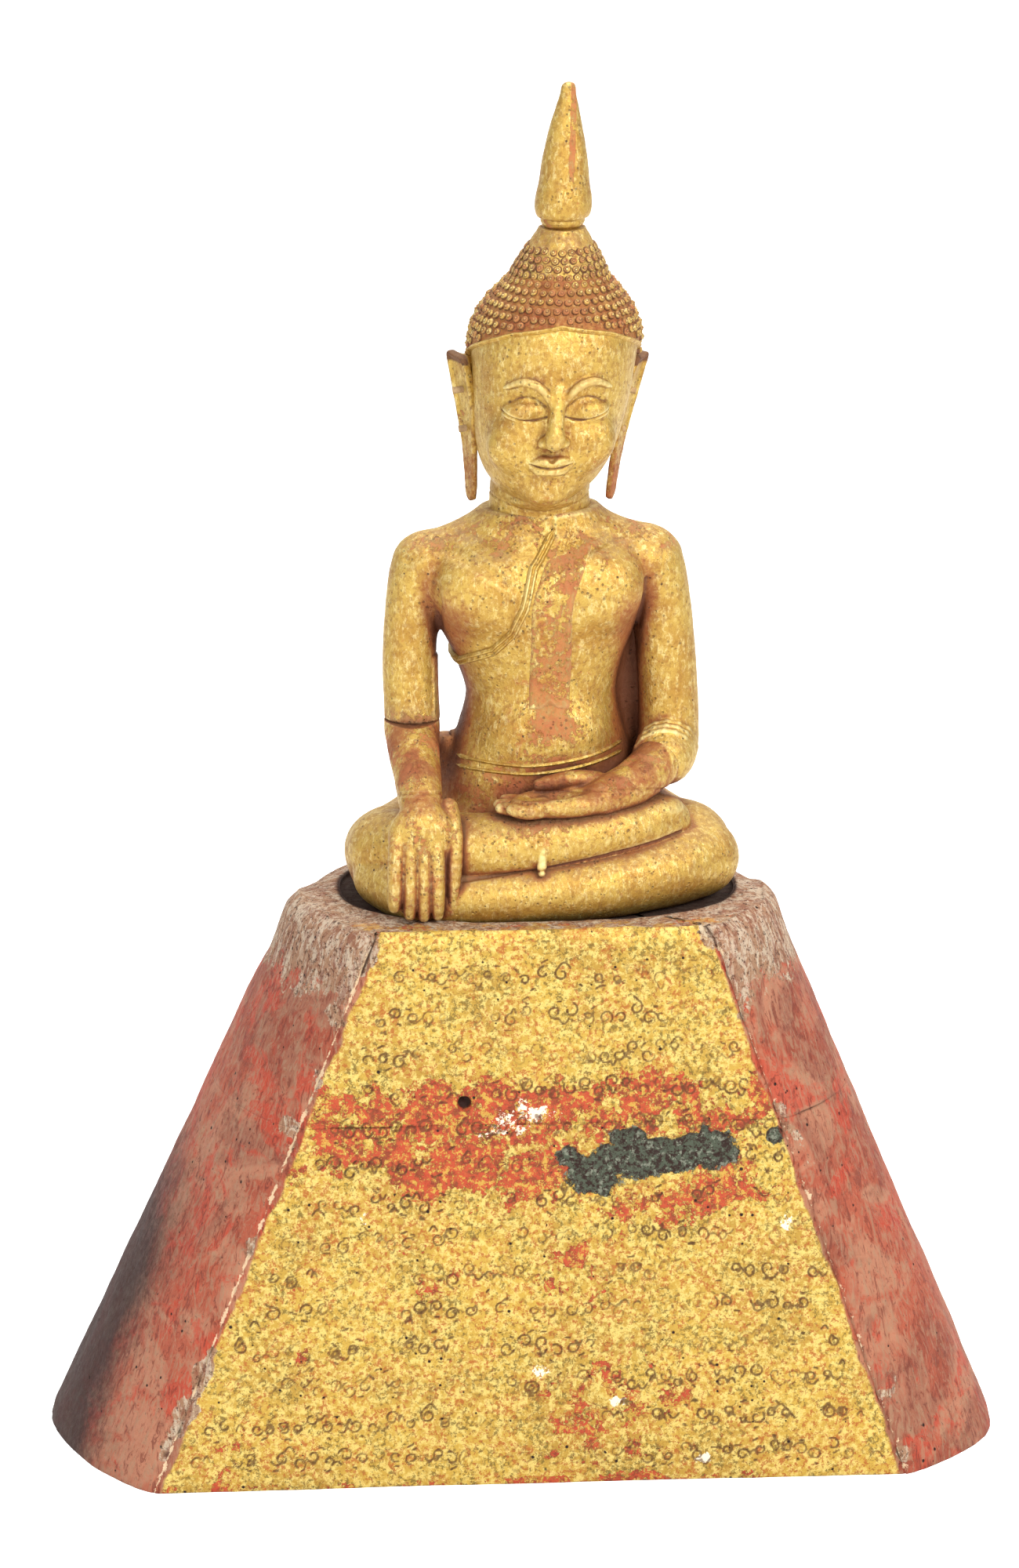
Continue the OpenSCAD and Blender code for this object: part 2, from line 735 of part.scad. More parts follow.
// Hairline band round the forehead, temple to temple, highest in the middle
hairline_z = 0.712 * head_h;
hairline_drop = 0.08 * head_h;
hairline_rows = [
    for (a = [176 : 8 : 364])
        let (q = on_skin(head_rows, hairline_z - hairline_drop * cos(a) * cos(a), a, 0.2))
        [q[0], q[1], q[2], line_d / 2, line_d / 2]
];
module hairline_form() {
    limb(hairline_rows, side = [0, 0, 1], steps = 1, n = line_n);
}
module hairline_band() {
    color(gold)
    at_head() hairline_form();
}

// Curls stand in level rows from above the band to the foot of the bare crown
curl_first = hairline_z + line_d / 2 + curl_d * 0.6;
curl_last = 0.885 * head_h;
curl_spacing = 1.16;
girth_step = 3;
// Length round the head at a height, as [length from the left, angle] in steps
function girth(z) =
    let (p = [for (a = [0 : girth_step : 360]) on_skin(head_rows, z, a, 0)], last = len(p) - 1)
    [for (i = 0, s = 0; i <= last; s = s + (i < last ? norm(p[i + 1] - p[i]) : 0), i = i + 1) [s, i * girth_step]];
module hair_curls() {
    color(old_gold)
    at_head()
    for (k = [0 : curl_rows - 1]) {
        z = curl_first + (curl_last - curl_first) * k / (curl_rows - 1);
        round_head = girth(z);
        length = round_head[len(round_head) - 1][0];
        count = floor(length / (curl_d * curl_spacing));
        for (i = [0 : count - 1])
            translate(on_skin(head_rows, z, lookup(length * (i + (k % 2) / 2) / count, round_head), 0))
                sphere(d = curl_d, $fn = 16);
    }
}

// ---- Finial ----

finial_peg_down = finial_peg_l - 13;
// Outline of the flame bud, as [height, radius], by share of its height and widest radius
bud_rows = [
    [0, 0.58], [0.04, 0.74], [0.09, 0.94], [0.14, 1], [0.22, 0.97], [0.31, 0.89], [0.45, 0.8],
    [0.66, 0.62], [0.86, 0.38], [0.95, 0.26], [1, 0.1]
];
bud_steps = 3;
bud_outline = concat(
    [[0, 0]],
    [for (q = resampled(bud_rows, bud_steps)) [q[1] * finial_d / 2, q[0] * finial_h]],
    [[0, finial_h]]
);

module at_finial() {
    translate([finial_x, 1, finial_z]) children();
}
module finial_bud() {
    color(gold)
    at_finial()
    difference() {
        rotate([0, finial_tilt, 0]) rotate_extrude() polygon(bud_outline);
        translate([0, 0, -finial_d]) cylinder(r = finial_d, h = finial_d);
        translate([0, 0, -cut])
            cylinder(d = finial_peg_d + 2 * tight_gap, h = finial_peg_l - finial_peg_down + 2 * cut);
    }
}
module finial_peg() {
    color(pale_wood)
    at_finial()
    translate([0, 0, -finial_peg_down]) cylinder(d = finial_peg_d, h = finial_peg_l);
}

pedestal_lower_block();
pedestal_upper_block();
tier_dowels();
base_board();
base_board_pegs();
figure_body();
right_forearm();
left_forearm();
forearm_pegs();
seat_dowels();
neck_dowel();
head();
right_ear();
left_ear();
ear_pegs();
hair_curls();
hairline_band();
robe_edge_line();
waist_line();
shoulder_sash();
finial_bud();
finial_peg();
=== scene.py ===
import math
import bpy
import numpy as np
import openvdb
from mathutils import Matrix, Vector


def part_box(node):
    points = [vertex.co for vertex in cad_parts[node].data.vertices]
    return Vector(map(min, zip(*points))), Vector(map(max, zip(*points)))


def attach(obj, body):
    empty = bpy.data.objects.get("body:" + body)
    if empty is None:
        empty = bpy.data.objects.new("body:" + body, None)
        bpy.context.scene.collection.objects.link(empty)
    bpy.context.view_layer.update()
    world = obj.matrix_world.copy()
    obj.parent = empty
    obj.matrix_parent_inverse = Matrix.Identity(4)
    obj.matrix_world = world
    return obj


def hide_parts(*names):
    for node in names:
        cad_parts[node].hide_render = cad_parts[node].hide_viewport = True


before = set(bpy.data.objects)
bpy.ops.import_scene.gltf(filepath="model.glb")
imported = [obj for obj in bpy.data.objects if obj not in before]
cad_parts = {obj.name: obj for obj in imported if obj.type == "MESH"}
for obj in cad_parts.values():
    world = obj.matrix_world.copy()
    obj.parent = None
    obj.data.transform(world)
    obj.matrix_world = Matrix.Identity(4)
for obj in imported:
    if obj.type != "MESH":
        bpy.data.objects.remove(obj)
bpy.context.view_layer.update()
mm = 0.001


# small maths on arrays of points, in millimetres

def nodeBox(node):
    low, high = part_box(node)
    return np.array(low) / mm, np.array(high) / mm


def ease(low, high, value):
    t = np.clip((value - low) / (high - low), 0, 1)
    return t * t * (3 - 2 * t)


def unit(v):
    return v / np.maximum(np.linalg.norm(v, axis=-1, keepdims=True), 1e-9)


def scramble(cell, seed):
    # a fixed number from 0 to 1 for each whole-number cell
    h = (cell[:, 0] * 73856093) ^ (cell[:, 1] * 19349663) ^ (cell[:, 2] * 83492791) ^ (seed * 2654435)
    h = (h ^ (h >> 13)) * 1274126177
    h = (h ^ (h >> 16)) & 0xFFFFF
    return h / 0xFFFFF


def noiseAt(points, size, seed, stretch=(1, 1, 1)):
    # smooth noise from -1 to 1 whose lumps are about size across
    q = np.asarray(points, float) / (np.array(stretch) * size)
    base = np.floor(q).astype(np.int64)
    f = q - base
    f = f * f * (3 - 2 * f)
    total = np.zeros(len(q))
    for corner in np.ndindex(2, 2, 2):
        weight = np.prod(np.where(corner, f, 1 - f), axis=1)
        total += weight * scramble(base + np.array(corner), seed)
    return total * 2 - 1


def layeredNoise(points, size, seed, layers=3, stretch=(1, 1, 1)):
    total = sum(noiseAt(points, size / 2**k, seed + k, stretch) / 2**k for k in range(layers))
    return total / (2 - 2 ** (1 - layers))


def smoothPath(points, steps):
    # a curve through the given points, with steps between each pair
    p = np.array(points, float)
    p = np.vstack([2 * p[0] - p[1], p, 2 * p[-1] - p[-2]])
    out = []
    for i in range(1, len(p) - 2):
        for t in np.arange(steps) / steps:
            a, b, c, d = p[i - 1:i + 3]
            out.append((2 * b + (c - a) * t + (2 * a - 5 * b + 4 * c - d) * t * t
                        + (3 * b - a - 3 * c + d) * t**3) / 2)
    return np.array(out + [p[-2]])


# modelling clay: a form is a list of lumps, each added softly or pressed in

def ball(centre, radii):
    centre, radii = np.array(centre, float), np.array(radii, float) * np.ones(3)

    def shape(p):
        q = (p - centre) / radii
        k = np.linalg.norm(q, axis=1)
        return k * (k - 1) / np.maximum(np.linalg.norm(q / radii, axis=1), 1e-6)
    return shape, centre, radii.max()


def bone(start, end, startRadius, endRadius):
    start, end = np.array(start, float), np.array(end, float)

    def shape(p):
        along = end - start
        t = np.clip((p - start) @ along / (along @ along), 0, 1)
        return np.linalg.norm(p - start - t[:, None] * along, axis=1) - startRadius - (endRadius - startRadius) * t
    return shape, (start + end) / 2, np.linalg.norm(end - start) / 2 + max(startRadius, endRadius)


def loft(rows, endBlend=1.0):
    # level ovals from rows of [z, x centre, y centre, x radius, y radius, squareness]
    rows = smoothPath(rows, 6)
    order = np.argsort(rows[:, 0])
    rows = rows[order]

    def shape(p):
        at = [np.interp(p[:, 2], rows[:, 0], rows[:, k]) for k in range(1, 6)]
        qx, qy = np.abs(p[:, 0] - at[0]) / at[2], np.abs(p[:, 1] - at[1]) / at[3]
        q = (qx ** at[4] + qy ** at[4] + 1e-12) ** (1 / at[4])
        side = (q - 1) * np.minimum(at[2], at[3])
        ends = np.maximum(rows[0, 0] - p[:, 2], p[:, 2] - rows[-1, 0])
        return softer(side, ends, endBlend, -1)
    centre = np.array([rows[:, 1].mean(), rows[:, 2].mean(), (rows[0, 0] + rows[-1, 0]) / 2])
    return shape, centre, np.hypot(rows[:, 3:5].max(), (rows[-1, 0] - rows[0, 0]) / 2) + 12


def softer(a, b, blend, sign=1):
    # soft least of two distances, or soft greatest with sign -1
    if blend <= 0:
        return sign * np.minimum(sign * a, sign * b)
    a, b = sign * a, sign * b
    h = np.clip(0.5 + 0.5 * (b - a) / blend, 0, 1)
    return sign * (b + (a - b) * h - blend * h * (1 - h))


class Clay:
    def __init__(self):
        self.lumps = []

    def add(self, lump, blend=0.0, press=False):
        self.lumps.append((*lump, blend, press))
        return self

    def press(self, lump, blend=0.0):
        return self.add(lump, blend, True)

    def addPath(self, points, radii, blend, steps=4, within=None, press=False):
        # a rope of bones along a smooth path, joined to each other closely and to the form by blend
        rows = smoothPath(np.column_stack([points, radii]), steps)
        lumps = [bone(a[:3], b[:3], a[3], b[3]) for a, b in zip(rows, rows[1:])]
        low, high = rows[:, :3].min(0), rows[:, :3].max(0)
        inner = blend if within is None else within

        def shape(p):
            d = lumps[0][0](p)
            for lump in lumps[1:]:
                d = softer(d, lump[0](p), inner)
            return d
        reach = np.linalg.norm(high - low) / 2 + rows[:, 3].max()
        return self.add((shape, (low + high) / 2, reach), blend, press)

    def __call__(self, p):
        low, high = p.min(0), p.max(0)
        d = np.full(len(p), 40.0)
        for shape, centre, reach, blend, press in self.lumps:
            gap = np.linalg.norm(np.maximum(np.maximum(low - centre, centre - high), 0))
            if gap > reach + blend + 4:
                continue  # too far off to matter to these points
            e = shape(p)
            d = softer(d, -e, blend, -1) if press else softer(d, e, blend)
        return d


def castClay(form, low, high, cell):
    # turns a form into quads; only the blocks of cells near its surface are worked out finely
    side = 8
    low = np.array(low, float)
    blocks = np.ceil((np.array(high) - low) / (cell * side)).astype(int) + 1
    origin = low - cell * side / 2
    index = np.stack(np.meshgrid(*[np.arange(n) for n in blocks], indexing="ij"), -1).reshape(-1, 3)
    index = index[np.lexsort((index[:, 0], index[:, 1], index[:, 2] // 2))]
    middle = form(origin + (index + 0.5) * cell * side - cell / 2)
    near = np.abs(middle) < cell * side * 1.5
    field = np.zeros(blocks, np.float32)
    field[tuple(index.T)] = np.sign(middle) * 3 * cell
    field = field.repeat(side, 0).repeat(side, 1).repeat(side, 2)
    inside = np.stack(np.meshgrid(*[np.arange(side)] * 3, indexing="ij"), -1).reshape(-1, 3)
    chosen = index[near]
    for k in range(0, len(chosen), 128):
        cells = (chosen[k:k + 128, None] * side + inside).reshape(-1, 3)
        value = form(origin + cells * cell)
        field[tuple(cells.T)] = np.clip(value, -3 * cell, 3 * cell)
    grid = openvdb.FloatGrid(3 * cell)
    grid.copyFromArray(field)
    points, quads = grid.convertToQuads(isovalue=0.0)
    return points.astype(float) * cell + origin, quads[:, ::-1].astype(np.int64)


def facing(points, quads):
    # vertex normals of a mesh of quads or triangles
    a, b, c = points[quads[:, 0]], points[quads[:, 1]], points[quads[:, 2]]
    d = points[quads[:, -1]]
    face = np.cross(c - a, d - b) if quads.shape[1] == 4 else np.cross(b - a, c - a)
    normal = np.zeros_like(points)
    for k in range(quads.shape[1]):
        for axis in range(3):
            normal[:, axis] += np.bincount(quads[:, k], face[:, axis], len(points))
    return unit(normal)


def neighbourMean(values, quads, rounds):
    # averages values over the mesh, again and again
    values = values.reshape(len(values), -1)
    pairs = np.vstack([quads[:, [k, (k + 1) % quads.shape[1]]] for k in range(quads.shape[1])])
    count = np.bincount(pairs.ravel(), minlength=len(values))[:, None]
    for _ in range(rounds):
        total = np.zeros_like(values, float)
        for axis in range(values.shape[1]):
            total[:, axis] = (np.bincount(pairs[:, 0], values[pairs[:, 1], axis], len(values))
                              + np.bincount(pairs[:, 1], values[pairs[:, 0], axis], len(values)))
        values = (values + total / np.maximum(count, 1)) / 2
    return values


def hollowness(points, quads, rounds):
    # above 0 in hollows and below 0 on ridges, in millimetres
    smooth = neighbourMean(points, quads, rounds)
    return neighbourMean(((smooth - points) * facing(points, quads)).sum(1), quads, 2)[:, 0]


def outward(points, quads):
    # flips faces that would face inwards
    a, b, c = points[quads[:, 0]], points[quads[:, 1]], points[quads[:, 2]]
    volume = (np.cross(b - a, c - a) * a).sum()
    return quads if volume > 0 else quads[:, ::-1]


def makePiece(name, points, faces, body, nodes, material, masks=None, smooth=True):
    # faces is one array, or a list of arrays of faces with different numbers of corners
    groups = faces if isinstance(faces, list) else [faces]
    mesh = bpy.data.meshes.new(name)
    mesh.vertices.add(len(points))
    mesh.vertices.foreach_set("co", (np.asarray(points) * mm).ravel())
    corners = np.concatenate([g.ravel() for g in groups])
    sizes = np.concatenate([np.full(len(g), g.shape[1]) for g in groups])
    mesh.loops.add(len(corners))
    mesh.loops.foreach_set("vertex_index", corners)
    mesh.polygons.add(len(sizes))
    mesh.polygons.foreach_set("loop_start", np.concatenate([[0], np.cumsum(sizes)[:-1]]))
    mesh.polygons.foreach_set("use_smooth", np.full(len(sizes), smooth))
    mesh.update(calc_edges=True)
    for mask, values in (masks or {}).items():
        mesh.attributes.new(mask, "FLOAT", "POINT").data.foreach_set("value", np.asarray(values, np.float32))
    piece = bpy.data.objects.new(name, mesh)
    bpy.context.scene.collection.objects.link(piece)
    mesh.materials.append(material)
    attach(piece, body)
    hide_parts(*nodes)
    print(name, len(points), "points")
    return piece


# shader helpers

def tone(text):
    # a colour as the shader wants it, from its usual six figures
    parts = [int(text[k:k + 2], 16) / 255 for k in (1, 3, 5)]
    return (*[v / 12.92 if v <= 0.04045 else ((v + 0.055) / 1.055) ** 2.4 for v in parts], 1)


class Wiring:
    def __init__(self, tree):
        self.tree = tree

    def node(self, kind, **values):
        made = self.tree.nodes.new("ShaderNode" + kind)
        for name, value in values.items():
            setattr(made, name, value)
        return made

    def plug(self, socket, value):
        if isinstance(value, bpy.types.NodeSocket):
            self.tree.links.new(value, socket)
        elif value is not None:
            socket.default_value = value

    def place(self, scale=(1, 1, 1)):
        mapping = self.node("Mapping")
        self.plug(mapping.inputs["Vector"], self.node("TexCoord").outputs["Object"])
        mapping.inputs["Scale"].default_value = scale
        return mapping.outputs[0]

    def noise(self, size, detail=4.0, rough=0.55, vector=None, distort=0.0):
        # size is how far apart the lumps are, in metres
        made = self.node("TexNoise")
        self.plug(made.inputs["Vector"], vector or self.place())
        made.inputs["Scale"].default_value = 1 / size
        made.inputs["Detail"].default_value = detail
        made.inputs["Roughness"].default_value = rough
        made.inputs["Distortion"].default_value = distort
        return made.outputs["Fac"]

    def cells(self, size, vector=None, feature="F1"):
        made = self.node("TexVoronoi", feature=feature)
        self.plug(made.inputs["Vector"], vector or self.place())
        made.inputs["Scale"].default_value = 1 / size
        return made

    def sum(self, operation, a, b=None, c=None, clamp=False):
        made = self.node("Math", operation=operation, use_clamp=clamp)
        for socket, value in zip(made.inputs, (a, b, c)):
            self.plug(socket, value)
        return made.outputs[0]

    def between(self, value, low, high, first=0.0, last=1.0):
        made = self.node("MapRange", interpolation_type="SMOOTHSTEP")
        for name, v in (("Value", value), ("From Min", low), ("From Max", high), ("To Min", first),
                        ("To Max", last)):
            self.plug(made.inputs[name], v)
        return made.outputs[0]

    def blend(self, factor, a, b, mode="MIX"):
        made = self.node("Mix", data_type="RGBA", blend_type=mode)
        self.plug(made.inputs["Factor"], factor)
        self.plug(made.inputs[6], a)
        self.plug(made.inputs[7], b)
        return made.outputs[2]

    def times(self, a, b):
        return self.sum("MULTIPLY", a, b)

    def plus(self, a, b):
        return self.sum("ADD", a, b)

    def minus(self, a, b):
        return self.sum("SUBTRACT", a, b)

    def most(self, a, b):
        return self.sum("MAXIMUM", a, b)

    def timesPlus(self, a, b, c):
        return self.sum("MULTIPLY_ADD", a, b, c)

    def tint(self, colour, tint, value, low, high, strength):
        # lays a tint over a colour where the value passes from low to high
        return self.blend(self.between(value, low, high, 0, strength), colour, tint)

    def ragged(self, mask, size, amount, low, high):
        # the same mask with a broken edge
        return self.between(self.timesPlus(self.minus(self.noise(size, 6, 0.75), 0.5), amount, mask), low, high)

    def mask(self, name):
        return self.node("Attribute", attribute_name=name).outputs["Fac"]

    def group(self, tree, **values):
        made = self.node("Group", node_tree=tree)
        for name, value in values.items():
            self.plug(made.inputs[name], value)
        return made.outputs


def makeGroup(name, inputs, outputs, build):
    tree = bpy.data.node_groups.new(name, "ShaderNodeTree")
    for label, value in inputs.items():
        kind = "NodeSocketColor" if isinstance(value, tuple) else "NodeSocketFloat"
        socket = tree.interface.new_socket(label, in_out="INPUT", socket_type=kind)
        socket.default_value = value
    for label in outputs:
        kind = {"Colour": "NodeSocketColor", "Normal": "NodeSocketVector"}.get(label, "NodeSocketFloat")
        tree.interface.new_socket(label, in_out="OUTPUT", socket_type=kind)
    wires = Wiring(tree)
    entry, leave = tree.nodes.new("NodeGroupInput"), tree.nodes.new("NodeGroupOutput")
    for socket, value in zip(leave.inputs, build(wires, entry.outputs)):
        wires.plug(socket, value)
    return tree


def wormPitsBuild(w, given):
    # small round insect holes, thinned out at random and crowded in places
    spots = w.cells(0.0042)
    parts = w.node("SeparateColor")
    w.plug(parts.inputs[0], spots.outputs["Color"])
    size = w.times(given["Size"], w.timesPlus(parts.outputs[1], 0.7, 0.5))
    hole = w.between(spots.outputs["Distance"], size, w.times(size, 0.55))
    crowd = w.timesPlus(w.noise(0.03, 2), 0.9, w.minus(given["Amount"], 0.45))
    kept = w.sum("LESS_THAN", parts.outputs[0], crowd)
    return [w.times(hole, kept)]


def flakesBuild(w, given):
    # ragged losses with crisp rims
    spread = w.node("VectorMath", operation="SCALE")
    w.plug(spread.inputs[0], w.place())
    w.plug(spread.inputs["Scale"], given["Fineness"])
    broad = w.noise(0.022, 6, 0.62, spread.outputs[0], distort=0.6)
    fine = w.noise(0.004, 6, 0.7, spread.outputs[0], distort=0.4)
    level = w.plus(w.times(broad, 0.62), w.times(fine, 0.38))
    level = w.plus(level, given["Amount"])
    edge = w.minus(0.62, given["Sharpness"])
    return [w.between(level, edge, 0.62), level]


def settledDustBuild(w, given):
    # dust on what faces up, patchy
    normal = w.node("NewGeometry").outputs["Normal"]
    up = w.node("SeparateXYZ")
    w.plug(up.inputs[0], normal)
    level = w.between(up.outputs[2], 0.15, 0.95)
    patch = w.between(w.noise(0.012, 6, 0.65), 0.35, 0.7)
    return [w.times(w.times(level, patch), given["Amount"])]


def grainBuild(w, given):
    # long fibres along Z, with fine scratches across them
    fibre = w.noise(0.0016, 5, 0.7, w.place((1, 1, 0.06)))
    band = w.noise(0.012, 3, 0.6, w.place((1, 1, 0.12)))
    scratch = w.noise(0.0012, 3, 0.8, w.place((0.12, 0.5, 1)))
    level = w.plus(w.times(fibre, 0.5), w.times(band, 0.35))
    level = w.plus(level, w.times(scratch, w.times(given["Scratches"], 0.3)))
    return [level]


wormPits = makeGroup("wormPits", {"Size": 0.16, "Amount": 0.4}, ["Mask"], wormPitsBuild)
flakes = makeGroup("flakes", {"Amount": 0.0, "Sharpness": 0.03, "Fineness": 1.0}, ["Mask", "Level"], flakesBuild)
settledDust = makeGroup("settledDust", {"Amount": 0.6}, ["Mask"], settledDustBuild)
woodGrain = makeGroup("woodGrain", {"Scratches": 0.5}, ["Level"], grainBuild)


# materials

def principled(name, build):
    material = bpy.data.materials.new(name)
    material.use_nodes = True
    tree = material.node_tree
    shader = tree.nodes["Principled BSDF"]
    w = Wiring(tree)
    for socketName, value in build(w).items():
        w.plug(shader.inputs[socketName], value)
    print("material", name)
    return material


gold = dict(
    leaf=tone("#C2A04E"),  # the usual tone of the leaf
    bright=tone("#F2E2A0"),  # freshly rubbed leaf, also laid as painted sheen along ridges
    deep=tone("#A87C34"),
    fleck=tone("#8C5C2A"),
    hollow=tone("#5A2E16"),  # old dirt in hollows, and painted shade in the most closed-in gaps
    recess=tone("#8A421C"),  # painted shade: red-brown between the limbs
    under=tone("#A65C34"),  # red lacquer under the leaf
    dust=tone("#9A7A50"),
    pit=tone("#3A2214"),
    metal=0.72,
    rough=0.33)


def goldLeafBuild(w, given):
    # leaf over red lacquer, with the masks that each piece carries
    hollow, wear, paintedShade = w.mask("hollow"), w.mask("wear"), w.mask("paintedShade")
    broad = w.noise(0.014, 5, 0.6)
    fine = w.noise(0.0022, 6, 0.72)
    speck = w.noise(0.0009, 3, 0.7)
    streak = w.noise(0.0016, 5, 0.75, w.place((1, 1, 0.45)), distort=0.3)
    uneven = w.minus(fine, 0.5)
    colour = w.blend(w.between(broad, 0.4, 0.68, 0, 0.8), gold["leaf"], gold["deep"])
    colour = w.tint(colour, gold["bright"], streak, 0.48, 0.66, 0.5)
    colour = w.tint(colour, gold["fleck"], fine, 0.48, 0.62, 0.5)
    colour = w.tint(colour, gold["deep"], speck, 0.54, 0.64, 0.45)
    # painted sheen: ridges, where hollow falls below 0, turn towards the bright leaf tone
    colour = w.tint(colour, gold["bright"], hollow, -0.02, -0.16, 0.6)
    loss = w.group(flakes, Amount=w.timesPlus(wear, 0.2, given["Worn"]), Fineness=2.4)
    lost = loss[0]
    lostTone = w.blend(w.between(streak, 0.44, 0.6), gold["under"], gold["fleck"])
    colour = w.blend(w.times(lost, 0.75), colour, lostTone)
    redness = w.timesPlus(wear, 0.12, w.noise(0.006, 6, 0.8, distort=0.5))
    redness = w.between(w.plus(redness, given["Red"]), 0.6, 0.68, 0, 0.6)
    colour = w.blend(redness, colour, gold["under"])
    # painted shade: red-brown where the shade mask marks closed-in form, darkest brown where it is strongest
    depth = w.between(w.timesPlus(uneven, 0.5, paintedShade), 0.08, 0.5)
    colour = w.blend(w.times(depth, 0.85), colour, gold["recess"])
    deepestShade = w.between(w.timesPlus(uneven, 0.4, paintedShade), 0.4, 0.8, 0, 0.85)
    colour = w.blend(deepestShade, colour, gold["hollow"])
    # old dirt darkens the hollows; on the curls the hollow values also paint shade between them
    hollowDirtAndShade = w.between(w.timesPlus(uneven, 0.2, hollow), 0.02, 0.2)
    colour = w.blend(w.times(hollowDirtAndShade, 0.9), colour, gold["hollow"])
    dustMask = w.group(settledDust, Amount=given["Dusty"])[0]
    dustMask = w.most(dustMask, w.times(w.mask("dust"), w.between(fine, 0.36, 0.56)))
    colour = w.blend(dustMask, colour, gold["dust"])
    pit = w.group(wormPits, Size=0.11, Amount=w.timesPlus(wear, 0.2, given["Pits"]))[0]
    tiny = w.between(w.cells(0.0021).outputs["Distance"], 0.26, 0.16)
    tiny = w.times(tiny, w.between(w.noise(0.009, 4, 0.7), 0.48, 0.58))
    holes = w.most(pit, w.times(tiny, 0.6))
    colour = w.blend(w.times(holes, 0.85), colour, gold["pit"])
    dull = w.most(w.most(lost, dustMask), w.most(holes, hollowDirtAndShade))
    dull = w.most(dull, w.times(depth, 0.6))
    metal = w.times(w.sum("SUBTRACT", 1.0, dull, clamp=True), given["Shine"])
    polish = w.between(fine, 0.3, 0.7, gold["rough"], gold["rough"] + 0.16)
    rough = w.plus(w.times(dull, 0.35), polish)
    bump = w.node("Bump")
    height = w.plus(w.times(fine, 0.7), w.times(speck, 0.3))
    height = w.plus(height, w.times(streak, 0.5))
    height = w.minus(height, w.times(lost, 0.35))
    height = w.minus(height, w.times(holes, 1.3))
    bump.inputs["Strength"].default_value = 0.8
    bump.inputs["Distance"].default_value = 0.0006
    w.plug(bump.inputs["Height"], height)
    return [colour, metal, rough, bump.outputs[0]]


goldLeaf = makeGroup("goldLeaf", {"Worn": 0.0, "Red": 0.0, "Dusty": 0.3, "Pits": 0.3, "Shine": gold["metal"]},
                     ["Colour", "Metal", "Rough", "Normal"], goldLeafBuild)


def goldMaterial(name, worn, red, dusty, pits, shine=1.0):
    def look(w):
        leaf = w.group(goldLeaf, Worn=worn, Red=red, Dusty=dusty, Pits=pits, Shine=gold["metal"] * shine)
        return {"Base Color": leaf["Colour"], "Metallic": leaf["Metal"], "Roughness": leaf["Rough"],
                "Normal": leaf["Normal"]}
    return principled(name, look)


bodyGold = goldMaterial("bodyGold", worn=-0.04, red=0.0, dusty=0.3, pits=0.36)
armGold = goldMaterial("armGold", worn=-0.03, red=0.02, dusty=0.3, pits=0.4, shine=0.85)
headGold = goldMaterial("headGold", worn=-0.05, red=-0.03, dusty=0.2, pits=0.34)
hairGold = goldMaterial("hairGold", worn=0.02, red=0.06, dusty=0.3, pits=0.2, shine=0.8)
trimGold = goldMaterial("trimGold", worn=-0.08, red=-0.05, dusty=0.15, pits=0.2, shine=1.1)

pedestalTones = dict(
    gold=tone("#BC9A42"),
    goldLight=tone("#D6C070"),
    goldDeep=tone("#946E2C"),
    rust=tone("#A05426"),
    olive=tone("#6A5626"),
    red=tone("#9C4C34"),
    redBright=tone("#A83C26"),
    redDark=tone("#622618"),
    rose=tone("#A26A50"),
    dust=tone("#927258"),
    pale=tone("#B4A48E"),
    # near black, for soot, dark specks and painted shade
    sootAndShade=tone("#26120C"),
    bole=tone("#7C2E1E"),
    loss=tone("#434A3C"),
    lossPale=tone("#7C8070"),
    rim=tone("#D6BC98"),
    groove=tone("#54301C"),
    ground=tone("#E8DDC6"))


